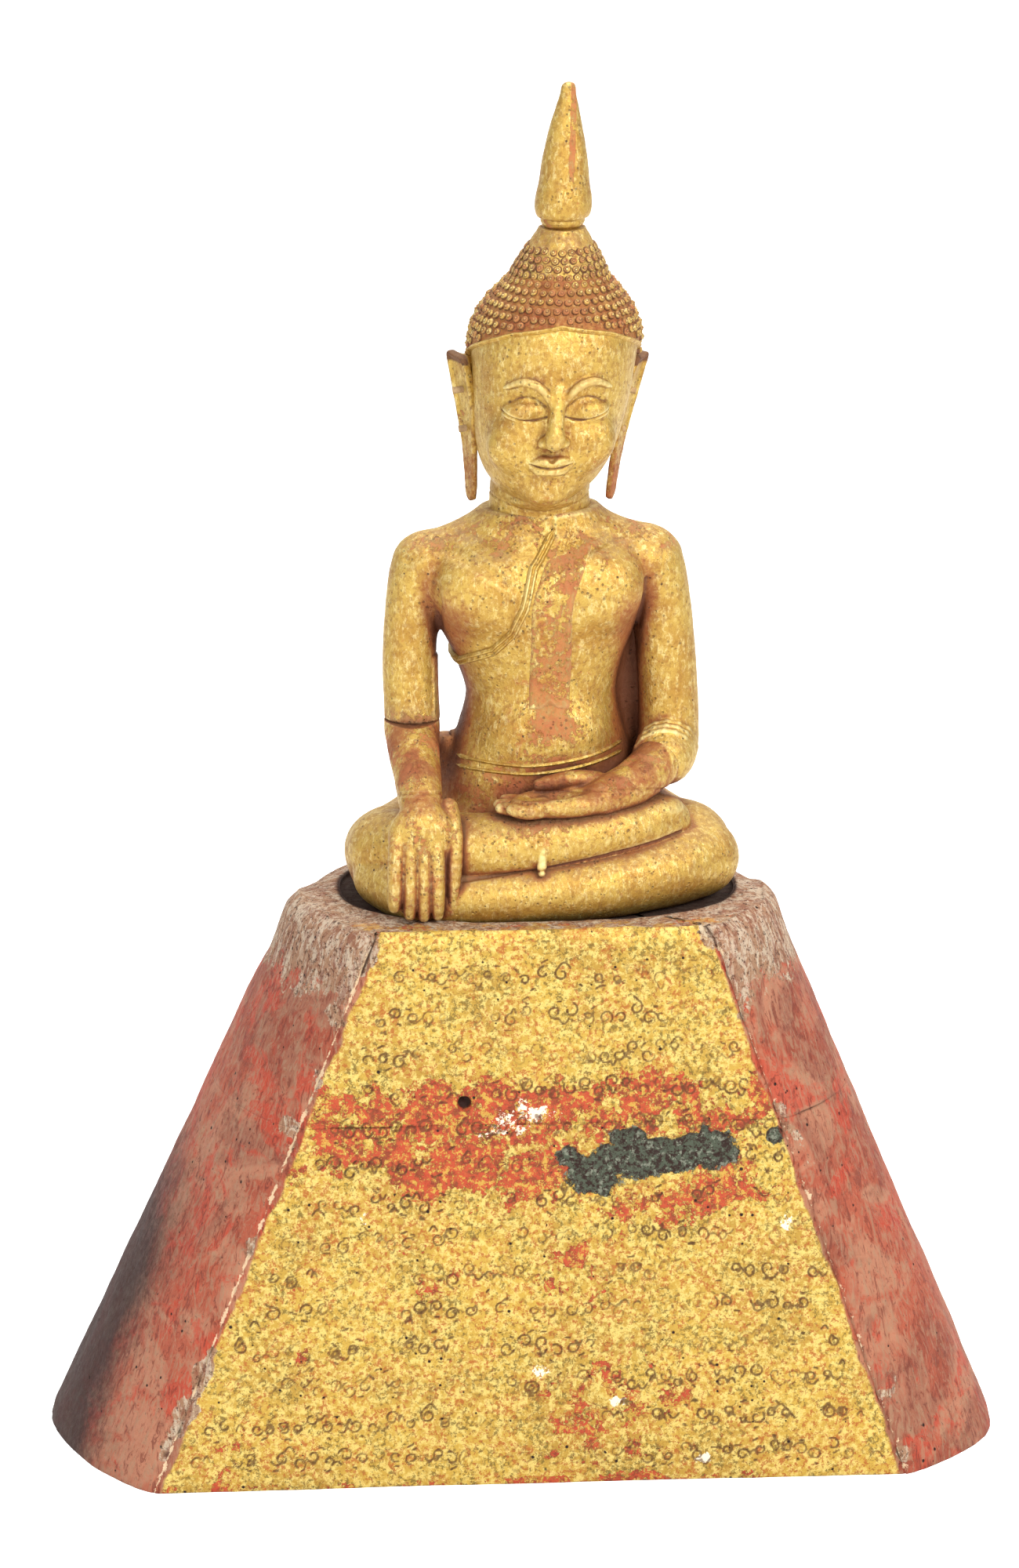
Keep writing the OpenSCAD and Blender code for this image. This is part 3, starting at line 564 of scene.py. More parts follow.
def pedestalLook(w):
    p = pedestalTones
    gilt, groove, loss = w.mask("gilt"), w.mask("groove"), w.mask("loss")
    chalk, bare, flaky, sootAndShade, redZone = (w.mask(m) for m in ("chalk", "bare", "flaky", "sootAndShade", "redZone"))
    fine = w.noise(0.0026, 6, 0.72)
    speck = w.noise(0.0011, 4, 0.75)
    broad = w.noise(0.03, 5, 0.6)
    grain = w.group(woodGrain, Scratches=0.7)[0]
    uneven = w.minus(fine, 0.5)
    # gilded front
    face = w.blend(w.between(broad, 0.4, 0.66, 0, 0.55), p["gold"], p["goldDeep"])
    face = w.tint(face, p["goldLight"], fine, 0.44, 0.58, 0.85)
    grit = w.noise(0.0017, 5, 0.8)
    fleck = w.blend(w.between(w.noise(0.012, 4, 0.7), 0.45, 0.55), p["rust"], p["olive"])
    face = w.tint(face, fleck, grit, 0.505, 0.57, 0.85)
    face = w.tint(face, p["goldDeep"], speck, 0.56, 0.66, 0.6)
    amount = w.timesPlus(flaky, 0.12, w.timesPlus(redZone, 0.14, -0.05))
    worn = w.group(flakes, Amount=amount, Sharpness=0.015, Fineness=1.7)[0]
    under = w.blend(w.between(w.noise(0.004, 5, 0.75), 0.48, 0.58), p["redBright"], p["bole"])
    under = w.tint(under, p["redDark"], speck, 0.5, 0.6, 0.75)
    under = w.tint(under, p["gold"], w.noise(0.0022, 5, 0.8), 0.52, 0.57, 0.85)
    face = w.blend(w.times(worn, 0.95), face, under)
    chips = w.group(flakes, Amount=w.timesPlus(chalk, 0.26, -0.15), Sharpness=0.012, Fineness=3.4)[0]
    face = w.blend(w.times(chips, 0.9), face, p["ground"])
    lost = w.ragged(loss, 0.006, 1.5, 0.4, 0.48)
    lostTone = w.blend(w.between(grit, 0.44, 0.56), p["loss"], p["sootAndShade"])
    lostTone = w.tint(lostTone, p["lossPale"], w.noise(0.003, 5, 0.75), 0.54, 0.62, 0.75)
    face = w.blend(lost, face, lostTone)
    face = w.blend(w.times(w.between(groove, 0.15, 0.8), 0.72), face, p["groove"])
    # lacquered sides, laid on with a coarse brush
    brushed = w.noise(0.0026, 5, 0.72, w.place((1, 1, 0.15)), distort=1.1)
    swirl = w.noise(0.045, 4, 0.65, distort=1.4)
    side = w.blend(w.between(swirl, 0.44, 0.54), p["red"], p["rose"])
    side = w.tint(side, p["redDark"], w.noise(0.06, 5, 0.6, distort=1.2), 0.5, 0.6, 0.45)
    side = w.tint(side, p["redBright"], w.noise(0.026, 5, 0.7, distort=0.8), 0.52, 0.6, 0.8)
    side = w.tint(side, p["dust"], brushed, 0.5, 0.6, 0.6)
    side = w.tint(side, p["redDark"], brushed, 0.46, 0.38, 0.7)
    side = w.tint(side, p["redDark"], w.noise(0.02, 6, 0.75), 0.56, 0.66, 0.6)
    side = w.tint(side, p["sootAndShade"], w.noise(0.0016, 4, 0.8), 0.6, 0.68, 0.7)
    colour = w.blend(gilt, side, face)
    weathered = w.noise(0.0045, 6, 0.78, w.place((1, 1, 0.5)), distort=0.8)
    bareTone = w.blend(w.between(weathered, 0.44, 0.54), p["pale"], p["dust"])
    bareTone = w.tint(bareTone, p["redDark"], grain, 0.52, 0.6, 0.6)
    bareTone = w.tint(bareTone, p["sootAndShade"], grit, 0.54, 0.6, 0.85)
    bareEdge = w.ragged(bare, 0.008, 1.5, 0.42, 0.5)
    colour = w.blend(w.times(bareEdge, 0.9), colour, bareTone)
    rimEdge = w.ragged(w.mask("rim"), 0.005, 2.6, 0.66, 0.78)
    colour = w.blend(w.times(rimEdge, 0.8), colour, p["rim"])
    # soot along the joint and painted shade, from the mask, broken by noise
    sootAndShadeEdge = w.between(w.timesPlus(uneven, 0.6, sootAndShade), 0.1, 0.85)
    colour = w.blend(w.times(sootAndShadeEdge, 0.92), colour, p["sootAndShade"])
    colour = w.blend(w.between(w.mask("hollow"), 0.03, 0.25, 0, 0.85), colour, p["sootAndShade"])
    pit = w.group(wormPits, Size=0.16, Amount=0.26)[0]
    colour = w.blend(pit, colour, p["sootAndShade"])
    dull = w.most(w.most(worn, chips), w.most(lost, w.most(bareEdge, pit)))
    metal = w.times(w.times(w.sum("SUBTRACT", 1.0, dull, clamp=True), gilt), 0.4)
    rough = w.between(fine, 0.3, 0.7, 0.42, 0.62)
    rough = w.plus(rough, w.times(dull, 0.25))
    rough = w.plus(rough, w.times(w.minus(1.0, gilt), 0.16))
    height = w.plus(w.times(fine, 0.4), w.times(speck, 0.3))
    height = w.plus(height, w.times(w.times(brushed, w.minus(1.1, gilt)), 1.6))
    height = w.minus(height, w.times(w.most(worn, lost), 0.5))
    height = w.minus(height, w.times(pit, 1.8))
    bump = w.node("Bump")
    bump.inputs["Strength"].default_value = 0.7
    bump.inputs["Distance"].default_value = 0.0007
    w.plug(bump.inputs["Height"], height)
    return {"Base Color": colour, "Metallic": metal, "Roughness": rough, "Normal": bump.outputs[0],
            "Specular IOR Level": 0.3}


pedestalSkin = principled("pedestalSkin", pedestalLook)


def woodBuild(w, given):
    grain = w.group(woodGrain, Scratches=0.3)[0]
    fine = w.noise(0.003, 5, 0.65)
    colour = w.blend(w.between(grain, 0.38, 0.62), given["Light"], given["Dark"])
    colour = w.tint(colour, given["Dust"], fine, 0.55, 0.7, 0.5)
    bump = w.node("Bump")
    bump.inputs["Strength"].default_value = 0.6
    bump.inputs["Distance"].default_value = 0.0005
    w.plug(bump.inputs["Height"], w.plus(grain, w.times(fine, 0.4)))
    return [colour, w.between(fine, 0.3, 0.7, 0.6, 0.8), bump.outputs[0]]


white = (1, 1, 1, 1)
plainWood = makeGroup("plainWood", {"Light": white, "Dark": white, "Dust": white}, ["Colour", "Rough", "Normal"],
                      woodBuild)


def woodMaterial(name, light, dark, dust):
    def look(w):
        wood = w.group(plainWood, Light=tone(light), Dark=tone(dark), Dust=tone(dust))
        return {"Base Color": wood["Colour"], "Roughness": wood["Rough"], "Normal": wood["Normal"]}
    return principled(name, look)


boardWood = woodMaterial("boardWood", "#8F7458", "#5E4733", "#A8957E")
pegWood = woodMaterial("pegWood", "#B79A70", "#8A6A44", "#6E5638")

for nodeName in ("base_board", "tier_dowels", "base_board_pegs", "forearm_pegs", "seat_dowels", "neck_dowel",
                 "ear_pegs", "finial_peg"):
    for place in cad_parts[nodeName].material_slots:
        place.material = boardWood if nodeName == "base_board" else pegWood


# pedestal: two blocks of a log, flat and gilded in front, lacquered round the sides

pedestal = dict(
    bottomHalf=(174.0, 137.0, 77.0),  # half width, half width of the flat front, half depth at the ground
    topHalf=(85.0, 60.0, 60.0),
    drift=5.5,
    height=205.0,
    joint=134.0,
    frontStep=0.55)  # spacing of modelled points on the front, in millimetres


def planAt(z):
    t = (z / pedestal["height"])[:, None]
    low, high = np.array(pedestal["bottomHalf"]), np.array(pedestal["topHalf"])
    return low + (high - low) * t, pedestal["drift"] * t[:, 0]


markRow = dict(first=11.0, pitch=13.6, height=10.5, stroke=0.36, depth=0.4, margin=7.0)
canvasCell = 0.3


def strokeCanvas():
    # distance, in millimetres, to the nearest incised stroke on the front
    wide, tall = pedestal["bottomHalf"][1], pedestal["height"]
    shape = (int(tall / canvasCell), int(2 * wide / canvasCell))
    canvas = np.full(shape, 9.0, np.float32)
    rng = np.random.default_rng(5)
    z = markRow["first"]
    while z < tall - 8:
        half, drift = planAt(np.array([z]))
        reach = half[0, 1] - markRow["margin"]
        x = drift[0] - reach
        flip = 1
        while x < drift[0] + reach - 4:
            # a snail with a short tail, sometimes doubled, and small leaves round it
            step = rng.uniform(4.2, 7.4)
            size = markRow["height"] * rng.uniform(0.17, 0.27)
            middle = np.array([x + step / 2, z + rng.uniform(-0.22, 0.22) * markRow["height"]])
            a = np.linspace(0, rng.uniform(4.4, 7.6), 18)
            turn = flip * a + rng.uniform(0, 6.28)
            snail = middle + np.column_stack([np.cos(turn), np.sin(turn)]) * (size * (1 - 0.6 * a / a[-1]))[:, None]
            strokes = [snail] if rng.random() < 0.85 else []
            if rng.random() < 0.55:
                tail = np.linspace(0, 1, 6)[:, None]
                strokes.append(snail[0] + tail * [step * rng.uniform(0.3, 0.7), 0]
                               + np.column_stack([0 * tail[:, 0], flip * size * np.sin(np.pi * tail[:, 0]) * 0.8]))
            for _ in range(rng.integers(0, 3)):
                leaf = middle + [rng.uniform(-0.5, 0.5) * step,
                                 rng.choice([-1, 1]) * markRow["height"] * rng.uniform(0.28, 0.42)]
                strokes.append(np.array([leaf, leaf + [rng.uniform(0.8, 2.2), rng.uniform(-1.2, 1.2)]]))
            for path in strokes:
                for a, b in zip(path, path[1:]):
                    low = np.minimum(a, b) - 1.6
                    high = np.maximum(a, b) + 1.6
                    i0, i1 = np.clip((np.array([low[1], high[1]]) / canvasCell).astype(int), 0, shape[0])
                    j0, j1 = np.clip(((np.array([low[0], high[0]]) + wide) / canvasCell).astype(int), 0, shape[1])
                    if i1 <= i0 or j1 <= j0:
                        continue
                    zz, xx = np.mgrid[i0:i1, j0:j1] * canvasCell
                    q = np.stack([xx - wide - a[0], zz - a[1]], -1)
                    v = b - a
                    t = np.clip((q @ v) / max(v @ v, 1e-6), 0, 1)
                    d = np.linalg.norm(q - t[..., None] * v, axis=-1)
                    canvas[i0:i1, j0:j1] = np.minimum(canvas[i0:i1, j0:j1], d)
            x += step
            flip = rng.choice([-1, 1])
        z += markRow["pitch"]
    return canvas


incised = strokeCanvas()
print("incised marks drawn")


def sampleCanvas(x, z):
    i = np.clip(z / canvasCell, 0, incised.shape[0] - 2)
    j = np.clip((x + pedestal["bottomHalf"][1]) / canvasCell, 0, incised.shape[1] - 2)
    i0, j0 = i.astype(int), j.astype(int)
    u, v = i - i0, j - j0
    return ((incised[i0, j0] * (1 - v) + incised[i0, j0 + 1] * v) * (1 - u)
            + (incised[i0 + 1, j0] * (1 - v) + incised[i0 + 1, j0 + 1] * v) * u)


def patch(x, z, middle, size, turn=0.0):
    # 1 in the middle of an oval and 0 outside it
    c, s = math.cos(turn), math.sin(turn)
    dx, dz = x - middle[0], z - middle[1]
    u, v = (dx * c + dz * s) / size[0], (-dx * s + dz * c) / size[1]
    return np.clip(1.35 - np.sqrt(u * u + v * v), 0, 1)


def patches(x, z, spots):
    return np.maximum.reduce([patch(x, z, *spot) for spot in spots])


lossPatches = (((44, 121), (27, 7.5), 0.12), ((22, 114), (12, 8), -0.3), ((62, 124), (17, 8), 0.1),
               ((13, 121), (6, 5), 0),
               ((36, 128), (7, 5), 0), ((88, 128), (3.5, 3.5), 0))
chalkPatches = (((-5, 135), (22, 9), 0.3), ((2, 42), (5, 4), 0), ((30, 30), (6, 3.5), 0), ((63, 8), (5, 3), 0),
                ((-60, 100), (5, 4), 0), ((92, 96), (4, 6), 0))
redPatches = (((48, 102), (34, 9), 0.1), ((-22, 116), (34, 13), -0.2), ((-39, 78), (22, 10), 0.2),
              ((24, 80), (26, 20), 0.5), ((28, 28), (52, 24), 0.1), ((44, 14), (18, 8), 0),
              ((-90, 60), (16, 22), 0), ((0, 140), (90, 14), 0), ((-100, 22), (20, 18), 0))


def pedestalRings(low, high, step):
    # points of one block, ring by ring, with their masks; the ring starts at the front left arris
    z = np.linspace(low, high, max(3, int((high - low) / step) + 1))
    half, drift = planAt(z)
    middle, _ = planAt(np.array([(low + high) / 2]))
    frontCount = int(2 * middle[0, 1] * 1.12 / pedestal["frontStep"] / (1))
    arcCount, backCount = ((110, 130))
    u = np.linspace(-1, 1, frontCount, endpoint=False)
    front = np.stack([half[:, 1:2] * u, np.repeat(-half[:, 2:3], frontCount, 1)], -1)
    bulge = half[:, 0] - half[:, 1]
    r = (bulge**2 + half[:, 2] ** 2) / (2 * bulge)
    span = np.arcsin(half[:, 2] / r)
    a = np.linspace(-1, 1, arcCount, endpoint=False)[None] * span[:, None]
    right = np.stack([(half[:, 0] - r)[:, None] + r[:, None] * np.cos(a), r[:, None] * np.sin(a)], -1)
    u = np.linspace(1, -1, backCount, endpoint=False)
    back = np.stack([half[:, 1:2] * u, np.repeat(half[:, 2:3], backCount, 1)], -1)
    left = -right
    ring = np.concatenate([front, right, back, left], 1)
    ring[..., 0] += drift[:, None]
    points = np.concatenate([ring, np.repeat(z[:, None, None], ring.shape[1], 1)], -1)
    return points, frontCount, arcCount, backCount


def backWear(y):
    # how far the worn rim of the top has sunk
    return 1.2 * ease(-50, -10, y) + 8.0 * ease(-6, 34, y)


def shapePedestal(points, frontCount, arcCount, backCount, top):
    rows, columns = points.shape[:2]
    flat = points.reshape(-1, 3)
    x, y, z = flat.T.copy()
    half, drift = planAt(z)
    column = np.tile(np.arange(columns), rows)
    onFront = column < frontCount
    localX = x - drift
    inFromArris = half[:, 1] - np.abs(localX)
    frontWay = np.array([0, -1.0, 0])
    arcR = ((half[:, 0] - half[:, 1]) ** 2 + half[:, 2] ** 2) / (2 * (half[:, 0] - half[:, 1]))
    centreX = np.sign(localX) * (half[:, 0] - arcR)
    arcWay = unit(np.column_stack([localX - centreX, y, np.zeros_like(x)]))
    isBack = (column >= frontCount + arcCount) & (column < frontCount + arcCount + backCount)
    way = np.where(onFront[:, None], frontWay, np.where(isBack[:, None], -frontWay, arcWay))
    # broad unevenness and tool marks
    push = layeredNoise(flat, 46, 11, 3) * 0.9 + layeredNoise(flat, 9, 12, 3) * 0.28
    adzed = noiseAt(flat, 7, 14, (1.2, 1.2, 4)) * 0.35
    fibres = layeredNoise(flat, 2.2, 15, 2, (1, 1, 14)) * 0.16
    push = push + np.where(onFront, 0.35 * adzed, adzed + fibres)
    wayRound = y / half[:, 2]
    fuller = np.exp(-((wayRound + 0.5) / 0.34) ** 2) * (1 - z / 260)
    push = push - np.where(onFront, 0.45, -0.2)
    push += np.where(onFront | isBack, 0, np.where(localX > 0, 5.5, -2.0) * fuller
                     + np.where(localX > 0, 1.2, 2.6) * ease(178, 200, z))
    # incised marks
    wander = np.column_stack([noiseAt(flat, 14, 21), noiseAt(flat, 14, 22)]) * 0.7
    stroke = sampleCanvas(localX + wander[:, 0], z + wander[:, 1])
    groove = np.where(onFront, 1 - ease(markRow["stroke"] * 0.5, markRow["stroke"] * 1.75, stroke), 0)
    fade = 0.5 + 0.5 * ease(-0.3, 0.25, layeredNoise(flat, 18, 23, 3))
    # losses and flaking layers on the front
    ragged = layeredNoise(flat, 9, 31, 4)
    loss = patches(x, z, lossPatches)
    loss = np.where(onFront, np.clip(loss + ragged * 0.6 * (loss > 0.02), 0, 1), 0)
    chalk, redZone = patches(x, z, chalkPatches), patches(x, z, redPatches)
    wander = layeredNoise(flat, 24, 42, 4)
    redZone = np.clip(redZone * (0.85 + 1.2 * wander), 0, 1) + 0.8 * ease(5, 1.5, z)
    flaky = ease(94, 120, z + 14 * wander) * (1 - ease(144, 162, z + 14 * wander))
    step = ease(0.02, 0.09, layeredNoise(flat, 11, 41, 4)) * (0.25 + 0.75 * flaky)
    push -= np.where(onFront, 0.34 * step + 0.9 * ease(0.4, 0.55, loss), 0)
    groove = groove * (1 - ease(0.35, 0.5, loss)) * fade
    push -= markRow["depth"] * groove
    # a round hole
    hole = np.hypot(x + 23.5, z - 142)
    push -= np.where(onFront, 3.2 * (1 - ease(2.1, 2.9, hole)), 0)
    # the joint between the blocks, and arrises worn round
    fromJoint = np.abs(z - pedestal["joint"])
    broken = ease(0.05, 0.45, layeredNoise(flat, 22, 51, 3)) * 0.8 + 0.12
    push -= (1 - ease(0.0, 0.8, fromJoint)) * 0.4 * broken
    side = np.where(onFront, inFromArris, np.abs(np.abs(y) - half[:, 2]) * 0.8)
    chip = np.clip(layeredNoise(flat, 15, 61, 3) * 1.6, 0, 1)
    wide = 2.2 + 5.5 * chip
    roundOff = np.clip(1 - side / wide, 0, 1) ** 2
    push -= roundOff * (0.9 + 2.4 * chip) * np.where(isBack, 0.5, 1)
    push -= 1.8 * np.clip(1 - z / 6, 0, 1) ** 2 * np.where(onFront, 0.3, 0.5)  # rounded foot
    moved = flat + way * push[:, None]
    # the upper edge rolls over, and the back corners are worn down
    if top:
        moved[:, 2] -= backWear(y) * ease(160, 205, z)
        down = pedestal["height"] - z
        roll = np.clip(1 - down / 5.5, 0, 1) ** 2
        lump = 1 + 0.8 * np.clip(layeredNoise(flat, 12, 71, 3), -0.6, 1)
        moved -= way * (roll * 2.4 * lump)[:, None]
    # painted shade: the left side darkens towards its back edge and towards the ground
    leftSideShade = np.where(onFront | (localX > 0), 0,
                         ease(-1.0, 0.1, wayRound + 0.25 * layeredNoise(flat, 40, 52, 3)) * ease(165, 0, z) * 1.6)
    masks = dict(
        gilt=np.where(onFront, ease(0.3, 1.2, inFromArris + 2.6 * layeredNoise(flat, 11, 81, 4) - 1.4), 0),
        rim=np.where(isBack, 0, np.clip(1 - side / 1.7, 0, 1) * ease(203, 198, z)
                     * np.where(localX < 0, 0.85, 0.6)),
        groove=groove, loss=loss, chalk=np.where(onFront, chalk, 0),
        redZone=np.where(onFront, redZone, 0), flaky=np.where(onFront, flaky, 0),
        bare=np.clip(np.clip(1 - side / (wide + 1.5), 0, 1) * (0.2 + 1.3 * chip)
                     + (0.85 * ease(158, 200, z) * np.where(onFront, 0.12, 1)), 0, 1),
        # mask: painted shade on the left side, real soot along the joint, and the round hole painted dark inside
        sootAndShade=np.clip(leftSideShade + (1 - ease(0.2, 0.9, fromJoint)) * broken * 0.6
                     + np.where(onFront, 1 - ease(1.6, 2.6, hole), 0), 0, 1))
    return moved, masks


def ringQuads(rows, columns, start=0):
    i, j = np.meshgrid(np.arange(rows - 1), np.arange(columns), indexing="ij")
    i, j = i.ravel(), j.ravel()
    k = (j + 1) % columns
    return start + np.column_stack([i * columns + j, i * columns + k, (i + 1) * columns + k, (i + 1) * columns + j])


def seatOutlineAt(points, grow):
    # where the edge of the recess lies in the direction of each point
    q = points[:, :2] - seat[:2]
    turn = np.arctan2(q[:, 1], q[:, 0])
    c, d = np.abs(np.cos(turn)) / (kneeHalf + grow), np.abs(np.sin(turn)) / (legHalf + grow)
    r = (c**2.5 + d**2.5) ** (-1 / 2.5)
    return seat[:2] + np.column_stack([np.cos(turn), np.sin(turn)]) * r[:, None]


def seatGap(points):
    # how far outside the edge of the recess each point lies
    return np.maximum(np.linalg.norm(points[:, :2] - seat[:2], axis=1)
                      - np.linalg.norm(seatOutlineAt(points, 1.2) - seat[:2], axis=1), 0)


def pedestalBlock(name, low, high, node, top):
    step = 0.6
    grid, frontCount, arcCount, backCount = pedestalRings(low, high, step)
    rows, columns = grid.shape[:2]
    skin, masks = shapePedestal(grid, frontCount, arcCount, backCount, top)
    points, faces = [skin], [ringQuads(rows, columns)]
    count = len(skin)

    def addLayers(previous, layers, flip):
        # each layer is a ring of points one step further in; the last is closed to one point
        nonlocal count
        for layer in layers:
            ids = np.arange(count, count + len(layer))
            points.append(layer)
            count += len(layer)
            quad = np.column_stack([previous, np.roll(previous, -1), np.roll(ids, -1), ids])
            faces.append(quad[:, ::-1] if flip else quad)
            previous = ids
        points.append(points[-1].mean(0)[None])
        fan = np.column_stack([previous, np.roll(previous, -1), np.full(len(previous), count)])
        count += 1
        return fan[:, ::-1] if flip else fan

    topIds, bottomIds = np.arange((rows - 1) * columns, rows * columns), np.arange(columns)
    topRing, bottomRing = skin[topIds], skin[bottomIds]
    middle = np.array([pedestal["drift"] * (low if not top else high) / pedestal["height"], 0])
    inner, outer = [], []
    if top:
        edge = seatOutlineAt(topRing, 1.4)
        ledge = 30
        for k in range(1, ledge + 1):
            t = k / ledge
            p = np.column_stack([topRing[:, :2] * (1 - t) + edge * t, np.full(columns, pedestal["height"] - 0.2)])
            fade = min(k / 3, 1)
            p[:, 2] = topRing[:, 2] * (1 - fade) + p[:, 2] * fade
            p[:, 2] += fade * (0.5 * layeredNoise(p, 9, 91, 3) - 0.5 - backWear(p[:, 1]) * (1 - t) ** 1.2) \
                - 0.8 * max(0, t - 0.93) / 0.07
            outer.append(p)
        for depth, grow in ((204, 1.2), (203, 1.15), (seat[2], 1.1)):
            outer.append(np.column_stack([seatOutlineAt(topRing, grow), np.full(columns, float(depth))]))
        for t in (0.94, 0.85, 0.7, 0.55, 0.4, 0.25, 0.1):
            outer.append(np.column_stack([seat[:2] + (seatOutlineAt(topRing, 1.1) - seat[:2]) * t,
                                          np.full(columns, seat[2])]))
        for t in (0.8, 0.5, 0.2, 0.05):
            inner.append(np.column_stack([middle + (bottomRing[:, :2] - middle) * t, np.full(columns, low)]))
    else:
        for t in (0.8, 0.5, 0.2, 0.05):
            outer.append(np.column_stack([middle + (topRing[:, :2] - middle) * t, np.full(columns, high)]))
        # the underside turns in to the ledge of the closing board and rises into the hollow
        steps = ((low, 8), (low, 13.6), (9, 13.6), (9, 28), (40, 28), (70, 28), (100, 28), (100, 45), (100, 60))
        for z, inset in steps:
            half, drift = planAt(np.array([float(z)]))
            ground, _ = planAt(np.array([0.0]))
            scale = (half[0, [0, 2]] - inset) / ground[0, [0, 2]]
            inner.append(np.column_stack([bottomRing[:, :2] * scale + [drift[0], 0], np.full(columns, float(z))]))
    ends = [addLayers(topIds, outer, False), addLayers(bottomIds, inner, True)]
    allPoints, quads = np.vstack(points), np.vstack(faces)
    hollow = np.zeros(len(allPoints))
    hollow[:len(skin)] = hollowness(allPoints, quads, 9)[:len(skin)]
    full = dict(hollow=hollow)
    for mask, values in masks.items():
        full[mask] = np.concatenate([values, np.zeros(len(allPoints) - len(skin))])
    if top:
        onLedge = ease(-38, -50, allPoints[len(skin):, 1])
        full["bare"][len(skin):] = 0.75 - 0.25 * onLedge
        for mask, level in (("gilt", 0.55), ("redZone", 0.6), ("flaky", 0.3)):
            full[mask][len(skin):] = level * onLedge
        # painted shade in the gap round the figure's foot
        full["sootAndShade"][len(skin):] = np.clip(1 - seatGap(allPoints[len(skin):]) / 2.6, 0, 1)
    return makePiece(name, allPoints, [quads] + ends, "pedestal", [node], pedestalSkin, full)


figureLow, figureHigh = nodeBox("figure_body")
seat = np.array([(figureLow[0] + figureHigh[0]) / 2, 0, figureLow[2]])  # where the figure's own measures start
kneeHalf, legHalf = 70.5, 44.0

pedestalBlock("pedestalLowerBlock", 0.0, pedestal["joint"], "pedestal_lower_block", False)
upperBlock = pedestalBlock("pedestalUpperBlock", pedestal["joint"], pedestal["height"],
                           "pedestal_upper_block", True)


def cutBy(piece, cutters):
    for cutter in cutters:
        change = piece.modifiers.new("cut", "BOOLEAN")
        change.operation, change.solver, change.object = "DIFFERENCE", "EXACT", cutter
    graph = bpy.context.evaluated_depsgraph_get()
    carved = bpy.data.meshes.new_from_object(piece.evaluated_get(graph))
    piece.modifiers.clear()
    piece.data = carved
    for cutter in cutters:
        bpy.data.objects.remove(cutter)


def prism(outline, low, high):
    # an upright solid, in millimetres, used only for cutting
    n = len(outline)
    points = np.vstack([np.column_stack([outline, np.full(n, z)]) for z in (low, high)]) * mm
    faces = [tuple(range(n))[::-1], tuple(range(n, 2 * n))]
    faces += [(i, (i + 1) % n, n + (i + 1) % n, n + i) for i in range(n)]
    mesh = bpy.data.meshes.new("cutter")
    mesh.from_pydata([tuple(p) for p in points], [], faces)
    cutter = bpy.data.objects.new("cutter", mesh)
    bpy.context.scene.collection.objects.link(cutter)
    return cutter


a = np.linspace(0, 2 * np.pi, 40, endpoint=False)
circle = np.column_stack([np.cos(a), np.sin(a)])
dowelHole = dict(radius=5.1, apart=60.0, depth=19.0)
cutBy(upperBlock, [prism(circle * dowelHole["radius"] + seat[:2] + [side * dowelHole["apart"] / 2, 0],
                         seat[2] - dowelHole["depth"], pedestal["height"] + 2) for side in (-1, 1)])
print("dowel holes cut", len(upperBlock.data.polygons), "faces")


# figure: legs, trunk and upper arms as one carved form, modelled in its own millimetres from the seat

figureCell = 0.5
body, torso = Clay(), Clay()  # the torso alone guides the raised lines laid on it
body.add(loft([(0, 0, 2, 62, 35, 2.5), (4, 0, 2, 66, 37, 2.5), (12, 0, 2, 67.5, 38, 2.4), (22, 0, 3, 65, 36, 2.3),
               (30, 0, 5, 54, 31, 2.2), (37, 0, 7, 42, 27, 2.1), (41, 0, 8, 34, 24, 2)]))
torso.add(loft([(28, 1, 3, 37, 27, 2.3), (45, 1, 3, 35, 25.5, 2.2), (60, 1.5, 4, 30, 23.5, 2.1),
                (74, 1.75, 4, 26.8, 21.5, 2.1),
               (85, 1, 3.5, 29, 22, 2.15), (98, 0, 2, 34, 23.5, 2.25), (110, -0.5, 1, 38.5, 25, 2.3),
               (119, -0.5, 1.2, 40.5, 24, 2.3), (129, 0, 2, 38, 20.5, 2.2), (136, 0, 3, 30, 17.5, 2),
                (144, 1, 3, 21, 16, 2)]))
for side in (-1, 1):
    body.add(bone((side * 20, 6, 24.5), (side * 50, -4, 19.5), 17.5, 14), 3)  # thigh
    body.add(ball((side * 54.2, -5, 18), (15.4, 18, 14.4)), 3)  # knee
    torso.add(bone((side * 37.5, 3, 123.6 + side * 0.5), (side * 12 + 1, 3, 131.4), 11.4, 11.4), 3)  # to the neck
    torso.add(ball((side * 17.5, -14, 117), (17.5, 9, 12.5)), 8)  # chest
torso.add(ball((3, -10, 61), (20, 13, 15)), 7)  # belly
body.add((torso, np.array([0.0, 2, 88]), 75), 5)
body.add(bone((-29, 6, 42), (-33.5, 5, 55), 9, 4.5), 4)  # hip behind the straight arm
body.add((lambda p: np.maximum(np.maximum(np.abs(p[:, 0] - 35) - 12, np.abs(p[:, 1] - 8) - 1.6),
                               np.abs(p[:, 2] - 76) - 36),
          np.array([35.0, 8, 76]), 42), 4.5)  # wall left standing behind the bent arm
body.addPath([(58, -12, 15), (42, -25, 14), (20, -33, 12), (0, -35.5, 10.4), (-20, -36, 9), (-45, -31, 8.6),
              (-56, -15, 11)],
             [14.2, 13, 12, 11, 10.4, 9.8, 11], 1.0, 4, 1)  # lower shin
body.addPath([(-55.5, -10, 20), (-42, -22, 23.5), (-25, -31, 26), (-4, -33.8, 28), (14, -32.8, 30), (33, -27, 31),
              (46, -17, 30)],
             [13.2, 12.6, 11.6, 10.4, 9.6, 8.7, 8.2], 1.0, 4, 1)  # upper shin and foot
body.addPath([(-40.2, 3, 122.2), (-43.6, 3, 111), (-45.5, 3, 98), (-45.9, 2.5, 84), (-45.6, 1, 72),
              (-45.2, -0.5, 60)],
             [12.1, 10.4, 9.6, 9.6, 9.6, 9.5], 2.4, 4, 0.8)
